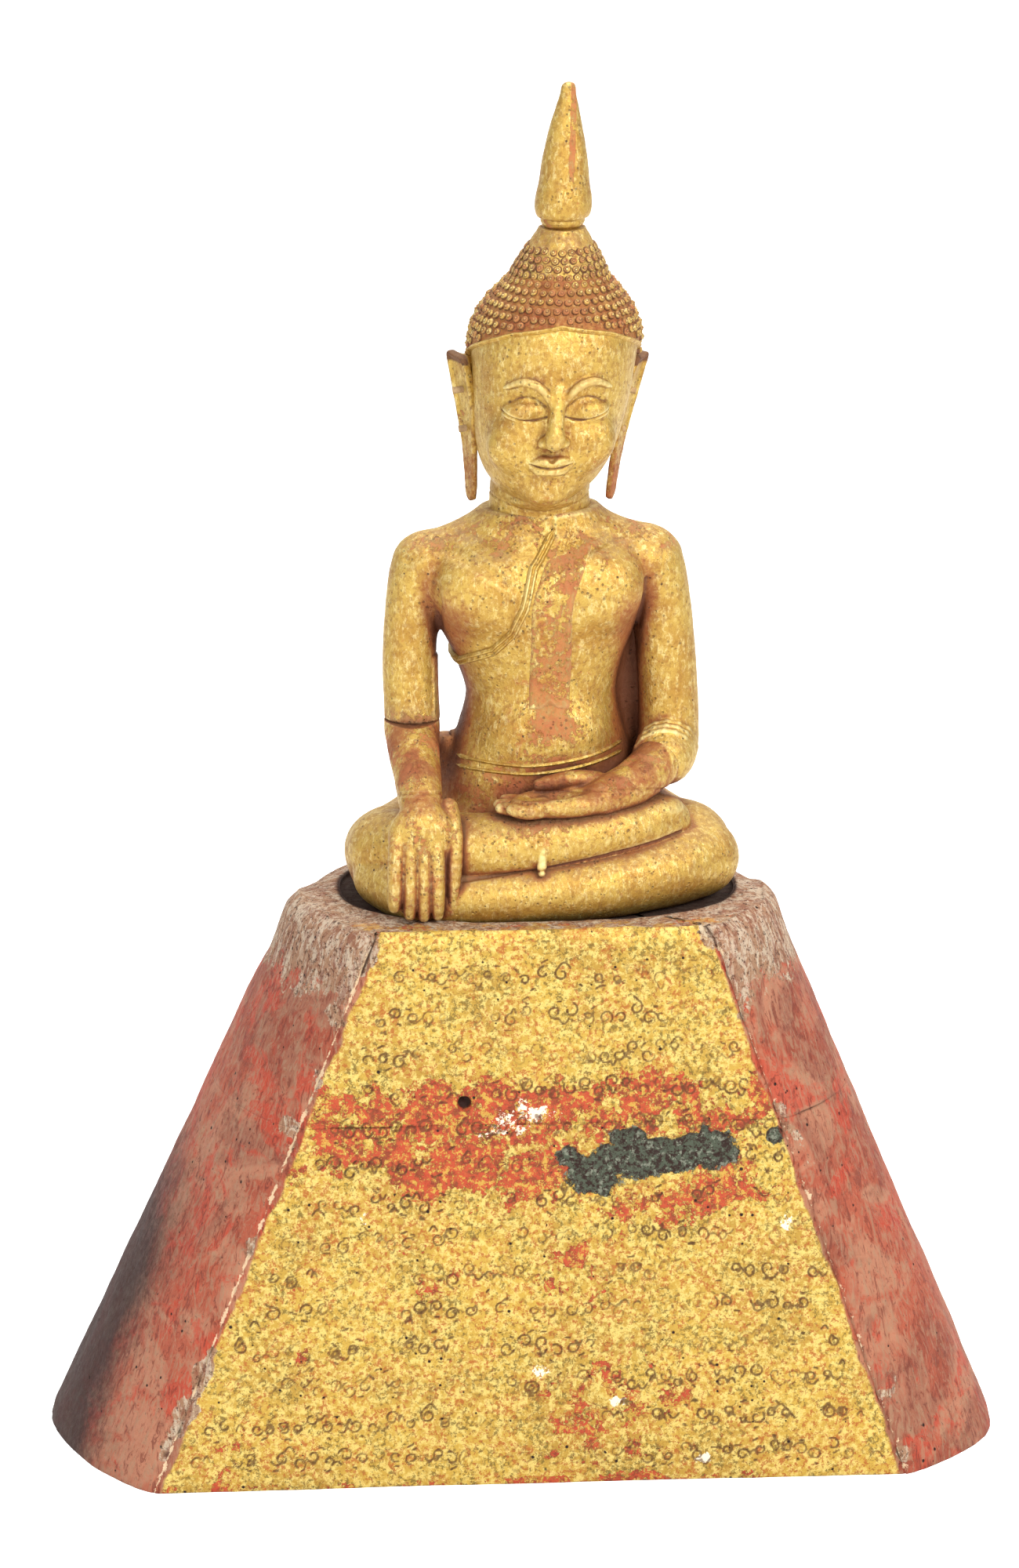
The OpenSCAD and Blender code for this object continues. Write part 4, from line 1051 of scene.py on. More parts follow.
body.addPath([(40.6, 3, 122.4), (44.2, 3, 111), (46.4, 3, 97), (47.6, 3, 82), (48.3, 2.8, 68), (48.2, 2, 57)],
             [12.1, 10.4, 9.8, 9.9, 10.1, 10.2], 2.4, 4, 0.8)
body.addPath([(48.2, 2, 57), (46.8, -5.5, 53.6), (45, -10, 52.4)], [10.2, 10.2, 10], 1.2, 3, 0.8)  # sleeve
for at in (0.1, 0.5, 0.95):  # rolled cuff
    body.addPath([(46.9 - at * 2 + 10.3 * math.cos(t) * 0.96, -4.5 - at * 5.6 - 3 * math.sin(t),
                   54.6 - at * 2.4 + 10.2 * math.sin(t))
                  for t in np.linspace(0, 2 * math.pi, 9)], [1.05] * 9, 0.9, 2, 0.4)
body.addPath([(-1.5, -45.2, 20), (-1.2, -43.2, 28), (-0.5, -40.4, 35)], [0.8, 1.0, 0.7], 1.6, 3)  # hem of the robe
body.add(ball((37, -21, 36.5), (14, 9, 5)), 2.5)  # sole turned up on the thigh


def splicedOff(p):
    # true distance of the level cut under the upper arm
    inArm = np.maximum(np.abs(p[:, 0] + 45) - 14, np.abs(p[:, 1]) - 16)
    return np.maximum(np.maximum(p[:, 2] - 66, 58 - p[:, 2]), inArm)


body.press((splicedOff, np.array([-45.0, 0, 62]), 24))
body.press(ball((0, 0, -31), (400, 400, 31)))


def robeHeight(turn):
    # height of the robe's edge for each angle round the trunk; the covered side is below it
    turn = np.where(turn < 60, turn + 360, turn)
    return np.interp(turn, [60, 72, 90, 112, 138, 172, 198, 231, 247, 257, 262, 286, 292],
                     [136, 128, 120, 108, 96, 90, 89, 95.5, 103, 113, 126, 139, 200])


trunkAxis = (0.5, 3.0)


def turnOf(p):
    return np.degrees(np.arctan2(p[:, 1] - trunkAxis[1], p[:, 0] - trunkAxis[0])) % 360


def lineDistance(points, line):
    # distance from flat points to a flat polyline
    best = np.full(len(points), 99.0)
    for a, b in zip(line, line[1:]):
        near = (np.abs(points - (a + b) / 2) < np.abs(b - a) / 2 + 6).all(1)
        q = points[near] - a
        v = b - a
        t = np.clip(q @ v / max(v @ v, 1e-9), 0, 1)
        best[near] = np.minimum(best[near], np.linalg.norm(q - t[:, None] * v, axis=1))
    return best


robeTurns = np.linspace(60, 286, 80)
robeLine = np.column_stack([robeTurns * 0.5, robeHeight(robeTurns)])  # half a millimetre of girth to a degree

creases = [  # drawn across the front, as [x, z] points, with width and depth
    (smoothPath([(-47, 127), (-40, 130), (-31, 130.5), (-22, 127.5), (-13, 122)], 8), 3.2, 0.8),
    (smoothPath([(40, 133), (28, 133.5), (18, 131.5), (6, 128)], 8), 1.6, 0.7),
    (smoothPath([(-35.5, 100), (-36.5, 110), (-37.5, 119)], 8), 2.2, 1.0),
    (smoothPath([(36.5, 100), (37.5, 110), (38.5, 119)], 8), 2.2, 1.0),
    (smoothPath([(-30, 16.5), (-10, 19.6), (8, 22.6), (30, 26), (50, 28.5)], 8), 0.9, 0.8)]


def enclosure(forms, points, normal):
    # painted shade: how closed in each point lies, 0 in the open, towards 1 deep between two limbs
    paintedShade = np.zeros(len(points))
    for away in (2.5, 6.0, 12.0):
        for k in range(0, len(points), 60000):
            p = points[k:k + 60000] + normal[k:k + 60000] * away
            d = np.minimum.reduce([form(p) for form in forms])
            paintedShade[k:k + 60000] += np.clip(1 - d / away, 0, 1.2) / 3
    return paintedShade


def finishFigure(name, form, low, high, cell, nodes, material, extra=None, near=()):
    points, quads = castClay(form, low, high, cell)
    quads = outward(points, quads)
    normal = facing(points, quads)
    push = layeredNoise(points, 15, 101, 3) * 0.28 + layeredNoise(points, 3.4, 102, 3) * 0.13
    masks = dict(wear=np.zeros(len(points)), dust=np.zeros(len(points)),
                 paintedShade=enclosure([form, *near], points, normal))
    if extra:
        push = push + extra(points, normal, masks)
    points = points + normal * push[:, None]
    masks["hollow"] = hollowness(points, quads, 9)
    masks["wear"] = np.clip(masks["wear"], 0, 1)
    masks["dust"] = np.clip(masks["dust"], 0, 1)
    return makePiece(name, points + seat, quads, "figure", nodes, material, masks)


def bodyExtra(p, n, masks):
    x, y, z = p.T
    turn = turnOf(p)
    trunk = (z > 50) & (x > -38)
    flat = np.column_stack([np.where(turn < 60, turn + 360, turn) * 0.5, z])
    fromEdge = lineDistance(flat, robeLine)
    covered = np.where(z < robeHeight(turn), 1.0, 0.0)
    lift = np.where(trunk, covered * ease(0, 0.9, fromEdge), 0.0)
    lift = np.where(z < 56, 1.0, lift)
    push = 0.55 * lift - 0.3 * np.where(trunk, 1 - ease(0, 1.2, fromEdge), 0) * (1 - covered)
    front = n[:, 1] < -0.1
    for line, wide, deep in creases:
        push -= np.where(front, deep * (1 - ease(0, wide, lineDistance(p[:, [0, 2]], line))), 0)
    # shadow behind the bent arm and along the flanks
    masks["paintedShade"] += 0.4 * ease(2, 5, y) * (np.abs(x - 36) < 9) * ease(56, 62, z) * ease(108, 100, z) * (y < 9)
    masks["paintedShade"] += 0.26 * ease(21, 30, np.abs(x - 1)) * ease(58, 66, z) * ease(122, 108, z) * (np.abs(x) < 36)
    masks["wear"] = (0.5 * np.exp(-((x - 3) ** 2 + (z - 62) ** 2) / 260) * front
                     + 0.7 * ease(20, 46, z) * (1 - ease(46, 60, z)) * ease(-60, -20, x) * ease(40, 10, x)
                     + 0.45 * ease(120, 132, z)
                     + 0.85 * np.exp(-((x - 3) / 7) ** 2) * ease(122, 104, z) * ease(58, 70, z) * front
                     + 0.8 * ease(75, 66, z) * (x < -34) * (z > 60))
    streaks = ease(-0.25, 0.35, layeredNoise(p, 5, 103, 3, (2.6, 1, 0.5)))
    masks["dust"] = (0.7 * ease(124, 133, z) * ease(0.0, 0.5, n[:, 2]) * streaks
                     + 0.35 * ease(0.3, 0.8, n[:, 2]) * (z < 50)
                     + 0.5 * ease(76, 67, z) * (x < -34) * (z > 60))
    return push


hand = Clay()
hand.addPath([(-45.4, -0.3, 66), (-45.4, -4, 61.5), (-45.2, -12, 56.5), (-44.6, -23, 50), (-44.2, -32, 44.5),
              (-44, -38, 38)],
             [9.9, 9.6, 9.0, 8.2, 7.6, 7], 1, 4, 0.8)
hand.add(ball((-44, -40.5, 33), (12.3, 6.6, 12)), 3)
hand.add(ball((-44.5, -41.5, 19), (12, 4.6, 17)), 2)
for x, end, splay in ((-53.6, 6.2, -0.8), (-48.6, 3.4, -0.3), (-43.8, 2.8, 0), (-39.2, 3.2, 0.4)):
    hand.addPath([(x * 0.92 - 3.6, -42.6, 34), (x, -45.6, 26), (x + splay * 0.6, -46.6, 15),
                  (x + splay, -46, end + 2.4)],
                 [2.6, 2.75, 2.6, 2.1], 0.7, 4, 1)
hand.addPath([(-34.5, -35, 42), (-32.6, -41, 33), (-33, -43.6, 20), (-33.6, -43, 6)], [3.6, 3, 2.7, 2.1], 0.7, 4, 1)
hand.press((lambda p: 66.0 - p[:, 2], np.array([-45.0, 0, 80]), 30))


def armExtra(p, n, masks):
    x, y, z = p.T
    masks["wear"] = 0.25 + 0.3 * ease(36, 60, z)
    # blotchy darkening, heavier towards the elbow, added to the painted-shade mask
    blotches = ease(-0.5, 0.3, layeredNoise(p, 6, 104, 3, (1, 1, 3)))
    masks["paintedShade"] = masks["paintedShade"] + (0.3 * ease(38, 56, z) + 0.16) * blotches
    wrist = np.abs(z - 46 + (y + 30) * 0.3)
    return -0.4 * (1 - ease(0, 1.0, wrist)) * (n[:, 1] < 0)


palm = Clay()
palm.addPath([(45, -11, 52.8), (40, -17, 50), (32, -25, 46.5), (22, -31, 44)], [8.8, 8.6, 8.0, 7.0], 1, 4, 0.8)
palm.add(ball((6, -34.5, 43), (18, 8.8, 5.4)), 4)
palm.press(ball((1, -35.5, 50.5), (15.5, 6.6, 7.2)), 1.6)
for y, reach, lift in ((-40.2, -12, 41.5), (-36.8, -15.5, 41.2), (-33.4, -16, 41.6), (-30.2, -13.5, 42.4)):
    finger = [(0, y + 0.6, lift + 0.6), (-6, y, lift), (reach, y + 0.6, lift + 0.6)]
    palm.addPath(finger, [2.6, 2.4, 1.9], 0.6, 4, 1)
palm.addPath([(20, -26, 48), (10, -27.5, 49.5), (-1, -29, 48)], [3.8, 3.2, 2.4], 1.0, 4, 1)
finishFigure("figureBody", body, (-73, -50, -2), (73, 42, 150), figureCell, ["figure_body"], bodyGold,
             bodyExtra, (hand, palm))
finishFigure("rightForearm", hand, (-62, -54, -1), (-27, 14, 69), figureCell * 0.8, ["right_forearm"], armGold,
             armExtra, (body,))
finishFigure("leftForearm", palm, (-22, -47, 34), (58, 2, 68), figureCell * 0.8, ["left_forearm"], armGold,
             armExtra, (body,))


# raised lines that follow the trunk

def roundWay(turns):
    a = np.radians(turns)
    return np.column_stack([np.cos(a), np.sin(a), np.zeros_like(a)])


def reachOut(form, origin, way, start, stop):
    # where rays that leave a form cross its surface
    low, high = np.full(len(origin), float(start)), np.full(len(origin), float(stop))
    for _ in range(16):
        half = (low + high) / 2
        inside = form(origin + way * half[:, None]) < 0
        low, high = np.where(inside, half, low), np.where(inside, high, half)
    return origin + way * low[:, None]


def slope(form, p, step=0.4):
    return unit(np.column_stack([form(p + step * e) - form(p - step * e) for e in np.eye(3)]))


def beading(path, outwardWay, width, height, ridges, closed=False, taper=True):
    # a soft band with one or two ridges, laid along a path
    along = unit(np.gradient(path, axis=0))
    across = unit(np.cross(outwardWay, along))
    s = np.linspace(-1, 1, 6 * ridges + 3)
    profile = np.clip(1 - s**6, 0, 1) * (0.62 + 0.38 * np.cos(np.pi * ridges * s + (0 if ridges % 2 else np.pi)))
    ends = np.ones(len(path))
    if taper:
        ends = np.clip(np.minimum(np.arange(len(path)), np.arange(len(path))[::-1]) / 3, 0.15, 1)
    lump = 1 + 0.16 * layeredNoise(path, 3, 111, 2)
    rings = []
    for k in range(len(path)):
        topSide = path[k] + across[k] * (s * width * ends[k] / 2)[:, None] \
            + outwardWay[k] * (profile * height * lump[k] * ends[k])[:, None]
        underSide = path[k] + across[k] * (s[::-1][1:-1] * width * ends[k] / 2)[:, None] - outwardWay[k] * 0.9
        rings.append(np.vstack([topSide, underSide]))
    rings = np.array(rings)
    rows, columns = rings.shape[:2]
    return rings.reshape(-1, 3), ringQuads(rows, columns), [np.arange(columns)[::-1][None],
                                                            np.arange((rows - 1) * columns, rows * columns)[None]]


def trimPiece(name, parts, node, material, wear=0.1):
    points, quads, ends, count = [], [], [], 0
    for p, q, e in parts:
        points.append(p)
        quads.append(q + count)
        ends += [x + count for x in e]
        count += len(p)
    points, quads = np.vstack(points), np.vstack(quads)
    if (np.cross(points[quads[:, 1]] - points[quads[:, 0]], points[quads[:, 2]] - points[quads[:, 0]])
            * (points[quads[:, 0]] - points.mean(0))).sum() < 0:
        quads, ends = quads[:, ::-1], [e[:, ::-1] for e in ends]
    masks = dict(hollow=hollowness(points, quads, 3) * 0.6, wear=np.full(len(points), wear),
                 dust=np.zeros(len(points)),
                 paintedShade=np.zeros(len(points)))
    return makePiece(name, points + seat, [quads] + ends, "figure", [node], material, masks)


def roundTrunk(turns, heights):
    way = roundWay(turns)
    origin = np.column_stack([np.full_like(turns, trunkAxis[0]), np.full_like(turns, trunkAxis[1]), heights])
    path = reachOut(torso, origin, way, 6, 60)
    return path + 0.5 * slope(torso, path), slope(torso, path)


turns = np.linspace(66, 286, 150)
path, out = roundTrunk(turns, robeHeight(turns))
trimPiece("robeEdgeLine", [beading(path, out, 3.6, 1.15, 2)], "robe_edge_line", trimGold)
bands = []
for height, low, high in ((53.5, 196, 344), (50.4, 200, 340)):
    turns = np.linspace(low, high, 90)
    path, out = roundTrunk(turns, height + 4 * ease(250, 340, turns))
    bands.append(beading(path, out, 1.7, 0.8, 1))
trimPiece("waistLine", bands, "waist_line", trimGold)

sashAcross, sashHeights = np.meshgrid(np.linspace(-1, 1, 26), np.linspace(73.5, 133, 84))
u, z = sashAcross.ravel(), sashHeights.ravel()
middle = 3.6 + 8.5 * ease(110, 140, z) - 0.4 * ease(95, 75, z)
origin = np.column_stack([middle + 7.4 * u, np.zeros_like(u), z])
path = reachOut(torso, origin, np.array([[0, -1.0, 0]]), 4, 50)
out = slope(torso, path)
rows, columns = sashAcross.shape
notch = np.where(z < 80, 3.0 * np.exp(-(u / 0.3) ** 2) * (80 - z) / 6.5, 0)
edgeLift = np.clip((1 - np.abs(u)) / 0.12, 0, 1) * np.clip((z - 73.4) / 0.8, 0, 1)
ridge = 0.3 * np.exp(-((np.abs(u) - 0.78) / 0.1) ** 2)
thick = 0.25 + (0.75 * edgeLift + ridge * edgeLift) * ease(133, 118, z) + 0.2
topSide = path + out * thick[:, None] + np.array([0, 0, 1]) * notch[:, None]
underSide = path - out * 0.8
points = np.vstack([topSide, underSide])
i, j = np.meshgrid(np.arange(rows - 1), np.arange(columns - 1), indexing="ij")
a = (i * columns + j).ravel()
upper = np.column_stack([a, a + 1, a + columns + 1, a + columns])
n = rows * columns
rim = np.concatenate([np.arange(columns), np.arange(1, rows) * columns + columns - 1,
                      (rows - 1) * columns + np.arange(columns - 2, -1, -1), np.arange(rows - 2, 0, -1) * columns])
after = np.roll(rim, -1)
rimQuads = np.column_stack([rim, rim + n, after + n, after])
trimPiece("shoulderSash", [(points, np.vstack([upper, upper[:, ::-1] + n, rimQuads]), [])], "shoulder_sash",
          bodyGold, wear=0.8)


# head, measured in its own millimetres from the neck seat, upright; leaning is done last

headUp = nodeBox("head")[0][2] - seat[2]


headTop = 106.0


def leanAt(z):
    t = z / headTop
    return 5 * np.clip(t * 2.2, 0, 1) + 4 * np.clip((t - 0.45) / 0.55, 0, None)


def onHead(p):
    p = p.copy()
    p[:, 0] += leanAt(p[:, 2])
    p[:, 2] += headUp
    return p


skull = Clay()
skull.add(loft([(-1, 0.5, 3, 19.3, 16.6, 2), (5, 0.5, 3, 18.2, 16, 2), (10, 0, 2.5, 18, 16, 2),
                (22, 0, 2, 18, 16, 2)]))
skull.add(loft([(10.5, 0, -9, 9.5, 11, 2), (13, 0, -5.5, 15, 17.5, 2), (17.5, 0, -2.5, 20, 24, 2.05),
                (26.5, 0, -1.5, 24.4, 27.6, 2.1),
                (40, 0, -0.5, 27.4, 29.4, 2.15), (54, 0, 0, 29, 30.2, 2.15), (66, 0, 0.5, 29.6, 30, 2.15),
                (74, 0, 1, 27.6, 28.4, 2.1), (80.5, 0, 1, 23.6, 24.2, 2), (84.5, 0, 1, 20, 20.4, 2),
                (88, 0, 1, 17.5, 17.6, 2),
                (92, 0, 1, 16.2, 16.2, 2), (97, 0, 1, 13.4, 13.4, 2), (102, 0, 1, 10.4, 10.4, 2),
                (107.5, 0, 1, 7.4, 7.4, 2)], 0.6), 2.2)
skull.add(ball((0, -22.5, 14.8), (7.5, 5.6, 4.6)), 4.5)  # chin
skull.add(ball((0, -9, 9.5), (11, 10, 3.4)), 4)
for side in (-1, 1):
    skull.add(ball((side * 13, -22.5, 32.5), (9.5, 6.6, 8.5)), 6)  # cheek
    skull.press(ball((side * 10.6, -34.2, 47.6), (9.4, 5.6, 5.6)), 4)  # eye socket
    skull.add(ball((side * 11.2, -24.9, 45.4), (7.8, 5.1, 4.6)), 1.1)  # eyeball under its lid
    skull.addPath([(side * 2.6, -31.2, 49.5), (side * 6.5, -31.4, 54.6), (side * 12.5, -29.6, 56.6),
                   (side * 19, -25.4, 53.8)],
                  [0.7, 1.0, 1.0, 0.5], 1.6, 4)  # brow
# nose
skull.addPath([(0, -29.2, 53), (0, -31.6, 46), (0, -33.4, 39), (0, -33.8, 35.4)], [2.1, 2.0, 2.3, 2.8], 2.2, 4)
for side in (-1, 1):
    skull.add(ball((side * 3.6, -31.6, 34.9), (2.1, 2.6, 1.9)), 1.6)
    skull.press(ball((side * 2.0, -33.9, 32.4), (1.1, 1.3, 0.8)), 0.6)
    upperLip = [(0, -31.0, 27.3), (side * 3.4, -30.8, 27.9), (side * 8.2, -28.2, 26.9)]
    lowerLip = [(0, -30.8, 24.2), (side * 3.4, -30.3, 24.3), (side * 7.4, -28.2, 25.8)]
    skull.addPath(upperLip, [1.2, 1.25, 0.5], 1.4, 4)
    skull.addPath(lowerLip, [1.5, 1.3, 0.4], 1.4, 4)
skull.press(ball((0, -32.2, 30.2), (1.1, 1.2, 2.2)), 1.4)
skull.press(ball((0, -31.8, 20.6), (6, 1.6, 1.8)), 2)

lidLine = smoothPath([(3.6, 43.9), (7.5, 42.6), (12, 42.4), (16.5, 43.8), (19, 45.2)], 6)
lidFold = smoothPath([(4.2, 47.6), (8, 50.2), (12.5, 50.6), (17.2, 48.6)], 6)


def hairHeight(p):
    # height of the hairline all round the head
    turn = np.arctan2(-p[:, 1], np.abs(p[:, 0]))  # a quarter turn at the front
    return np.interp(np.degrees(turn), [-90, -45, -12, 0, 12, 30, 55, 90], [20, 22, 30, 62, 64.5, 68, 72.5, 75.5])


def headExtra(p, n, masks):
    x, y, z = p.T
    above = z - hairHeight(p)
    hair = ease(-0.6, 0.6, above) * (1 - ease(88.5, 90, z + 0.05 * y))
    push = 0.7 * hair
    face = (y < -12) & (z < 60)
    mirrored = np.column_stack([np.abs(x), z])
    push -= np.where(face, 0.75 * (1 - ease(0, 0.75, lineDistance(mirrored, lidLine))), 0)
    push -= np.where(face, 0.4 * (1 - ease(0, 0.8, lineDistance(mirrored, lidFold))), 0)
    mouth = np.column_stack([np.abs(x), z - 25.7 - 0.018 * x * x])
    push -= np.where((y < -25) & (np.abs(x) < 8.2), 0.55 * (1 - ease(0, 0.6, np.abs(mouth[:, 1]))), 0)
    neck = (z > 1) & (z < 10)
    push -= np.where(neck, 0.35 * (1 - ease(0, 0.7, np.abs(z - 5.5 - 0.012 * x * x))), 0)
    masks["wear"] = 0.5 * hair + 0.6 * np.exp(-((x - 2) ** 2 + (z - 14) ** 2) / 60) * (y < 0) \
        + 0.3 * ease(90, 100, z) + 0.25 * ease(6, 0, z)
    masks["dust"] = 0.35 * ease(86, 100, z)
    # darker red-brown over the hair and towards the cone, laid through the painted-shade mask
    masks["paintedShade"] += 0.4 * hair + 0.16 * ease(86, 92, z)
    return push


skullCell = 0.36
points, quads = castClay(skull, (-34, -42, -2), (34, 36, 109), skullCell)
quads = outward(points, quads)
normal = facing(points, quads)
# the head's painted shade is the closed-in measure at under half strength
masks = dict(wear=np.zeros(len(points)), dust=np.zeros(len(points)), paintedShade=0.45 * enclosure([skull], points, normal))
push = layeredNoise(points, 11, 121, 3) * 0.16 + layeredNoise(points, 2.6, 122, 3) * 0.07
push = push + headExtra(points, normal, masks)
push += layeredNoise(points, 3.2, 123, 3) * 0.4 * ease(87, 92, points[:, 2])
points = points + normal * push[:, None]
points[:, 2] = np.clip(points[:, 2], 0, headTop)
masks["hollow"] = hollowness(points, quads, 9)
headPiece = makePiece("headPiece", onHead(points) + seat, quads, "figure", ["head"], headGold,
                      {k: np.clip(v, -1 if k == "hollow" else 0, 1) for k, v in masks.items()})
finialLow, finialHigh = nodeBox("finial_bud")
finialFoot = np.array([seat[0] + 9, 1.0, finialLow[2]])
pegHole = dict(inHead=3.1, depth=15.0, inBud=3.03, reach=13.0)
cutBy(headPiece, [prism(circle * pegHole["inHead"] + finialFoot[:2], finialFoot[2] - pegHole["depth"],
                        finialFoot[2] + 3)])


# curls: rows of small snails above the hairline, up to the bare crown

curl = dict(width=3.1, height=2.0, rows=0.88, crowd=0.74, crownTop=99.0, rowCount=30)


def roundHead(turns, heights):
    way = roundWay(turns)
    origin = np.column_stack([np.zeros_like(turns), np.full_like(turns, 0.6), heights])
    path = reachOut(skull, origin, way, 3, 44)
    return path, slope(skull, path)


def girthAlong(path):
    return np.concatenate([[0], np.cumsum(np.linalg.norm(np.diff(path, axis=0), axis=1))])


def curlSeats():
    rng = np.random.default_rng(8)
    turns, heights = [], []
    for k in range(curl["rowCount"]):
        # rows follow the hairline low down and turn level towards the crown
        probe = np.linspace(0, 360, 721)
        foot = hairHeight(roundWay(probe)) + 1.9
        height = curl["crownTop"] - k * curl["width"] * curl["rows"]
        path, _ = roundHead(probe, np.full_like(probe, height))
        lengths = girthAlong(path)
        count = int(lengths[-1] / (curl["width"] * 1.02))
        at = (np.arange(count) + 0.5 * (k % 2)) * lengths[-1] / count
        turn = np.interp(at, lengths, probe)
        keep = height > np.interp(turn, probe, foot)
        turns.append(turn[keep] + rng.normal(0, 0.25, keep.sum()))
        heights.append(np.full(keep.sum(), height) + rng.normal(0, 0.1, keep.sum()))
    # one row along the hairline itself
    probe = np.linspace(178, 362, 300)
    path, _ = roundHead(probe, hairHeight(roundWay(probe)) + 2.2)
    lengths = girthAlong(path)
    turn = np.interp(np.arange(0.5, lengths[-1], curl["width"] * 1.0), lengths, probe)
    extra = hairHeight(roundWay(turn)) + 2.2
    t, h = np.concatenate(turns), np.concatenate(heights)
    return np.concatenate([t, turn]), np.concatenate([h, extra])


def curlPieces():
    turns, heights = curlSeats()
    seats, out = roundHead(turns, heights)
    # drop curls that crowd one another
    kept = []
    for i in range(len(seats)):
        if all(np.linalg.norm(seats[i] - seats[j]) > curl["width"] * curl["crowd"] for j in kept[-160:]) and \
                (not kept or np.linalg.norm(seats[kept] - seats[i], axis=1).min() > curl["width"] * curl["crowd"]):
            kept.append(i)
    seats, out, heightOf = seats[kept], out[kept], heights[kept]
    rng = np.random.default_rng(9)
    around, rings = 9, 5
    a = np.arange(around) / around * 2 * np.pi
    s = np.array([1.0, 0.86, 0.6, 0.34, 0.1])
    up = np.array([-0.15, 0.45, 0.82, 0.8, 1.0])
    points, quads, tips, hollow = [], [], [], []
    for k, (seatPoint, way) in enumerate(zip(seats, out)):
        sideways = unit(np.cross([0, 0, 1.0], way))
        upwards = np.cross(way, sideways)
        r = curl["width"] / 2 * rng.uniform(0.92, 1.06)
        h = curl["height"] * rng.uniform(0.75, 1.1)
        spin = rng.uniform(0, 2 * np.pi)
        start = k * around * rings
        fade = 1 - 0.6 * float(ease(84, 92, heightOf[k]))
        ring = []
        for q in range(rings):
            swirl = 1 + 0.14 * np.cos(a - spin - q * 1.9)
            ring.append(seatPoint + way * (up[q] * h * fade + 0.35 * fade)
                        + (np.cos(a) * s[q] * r * swirl)[:, None] * sideways
                        + (np.sin(a) * s[q] * r * swirl)[:, None] * upwards)
            # ring values: painted shade at the foot between curls, a painted highlight on the tip
            hollow.append(np.full(around, [0.4, 0.16, -0.06, 0.2, -0.2][q]))
        points.append(np.vstack(ring))
        quads.append(ringQuads(rings, around, start))
        tips.append(start + (rings - 1) * around + np.arange(around))
    points = np.vstack(points)
    points += layeredNoise(points, 2.5, 131, 2)[:, None] * 0.12
    hollow = np.concatenate(hollow)
    rubbed = np.exp(-((points[:, 0] - 1) ** 2 + (points[:, 2] - 80) ** 2) / 70) * (points[:, 1] < 0)
    # the painted shade follows the same ring values
    masks = dict(hollow=hollow, dust=np.full(len(points), 0.1), paintedShade=0.12 + 0.5 * hollow, wear=0.2 + 0.8 * rubbed)
    print("curls", len(seats))
    faces = [np.vstack(quads), np.array(tips)]
    makePiece("hairCurls", onHead(points) + seat, faces, "figure", ["hair_curls"], hairGold, masks)


curlPieces()
turns = np.linspace(176, 364, 140)
path, out = roundHead(turns, hairHeight(roundWay(turns)))
points, quads, ends = beading(path, out, 2.0, 1.5, 1)
trimPiece("hairlineBand", [(onHead(points), quads, ends)], "hairline_band", trimGold)


# ears: thin plates with a level top, a pointed outer corner and a long hanging lobe

ear = dict(thick=3.2, yaw=22.0, rightTilt=4.2, leftTilt=11.0, rightFoot=(-20.9, 1.5, 6.6),
           leftFoot=(23.6, 1.5, 6.6))
earOutline = np.array([(-1.6, 0.6), (1.2, 0.0), (3.8, 3.0), (4.6, 13), (6.6, 27), (8.8, 42), (9.6, 53.2),
                       (3.5, 53.5), (-2.6, 52.8),
                       (-5.4, 46), (-6.2, 36), (-5.0, 26), (-3.4, 14), (-2.8, 6)])


def outlineDistance(points, outline):
    # signed distance to a closed flat outline, below 0 inside
    best = np.full(len(points), 99.0)
    inside = np.zeros(len(points), bool)
    for a, b in zip(outline, np.roll(outline, -1, 0)):
        v, q = b - a, points - a
        t = np.clip(q @ v / (v @ v), 0, 1)
        best = np.minimum(best, np.linalg.norm(q - t[:, None] * v, axis=1))
        crosses = (a[1] > points[:, 1]) != (b[1] > points[:, 1])
        x = a[0] + (points[:, 1] - a[1]) * v[0] / (v[1] if abs(v[1]) > 1e-9 else 1e-9)
        inside ^= crosses & (points[:, 0] < x)
    return np.where(inside, -best, best)


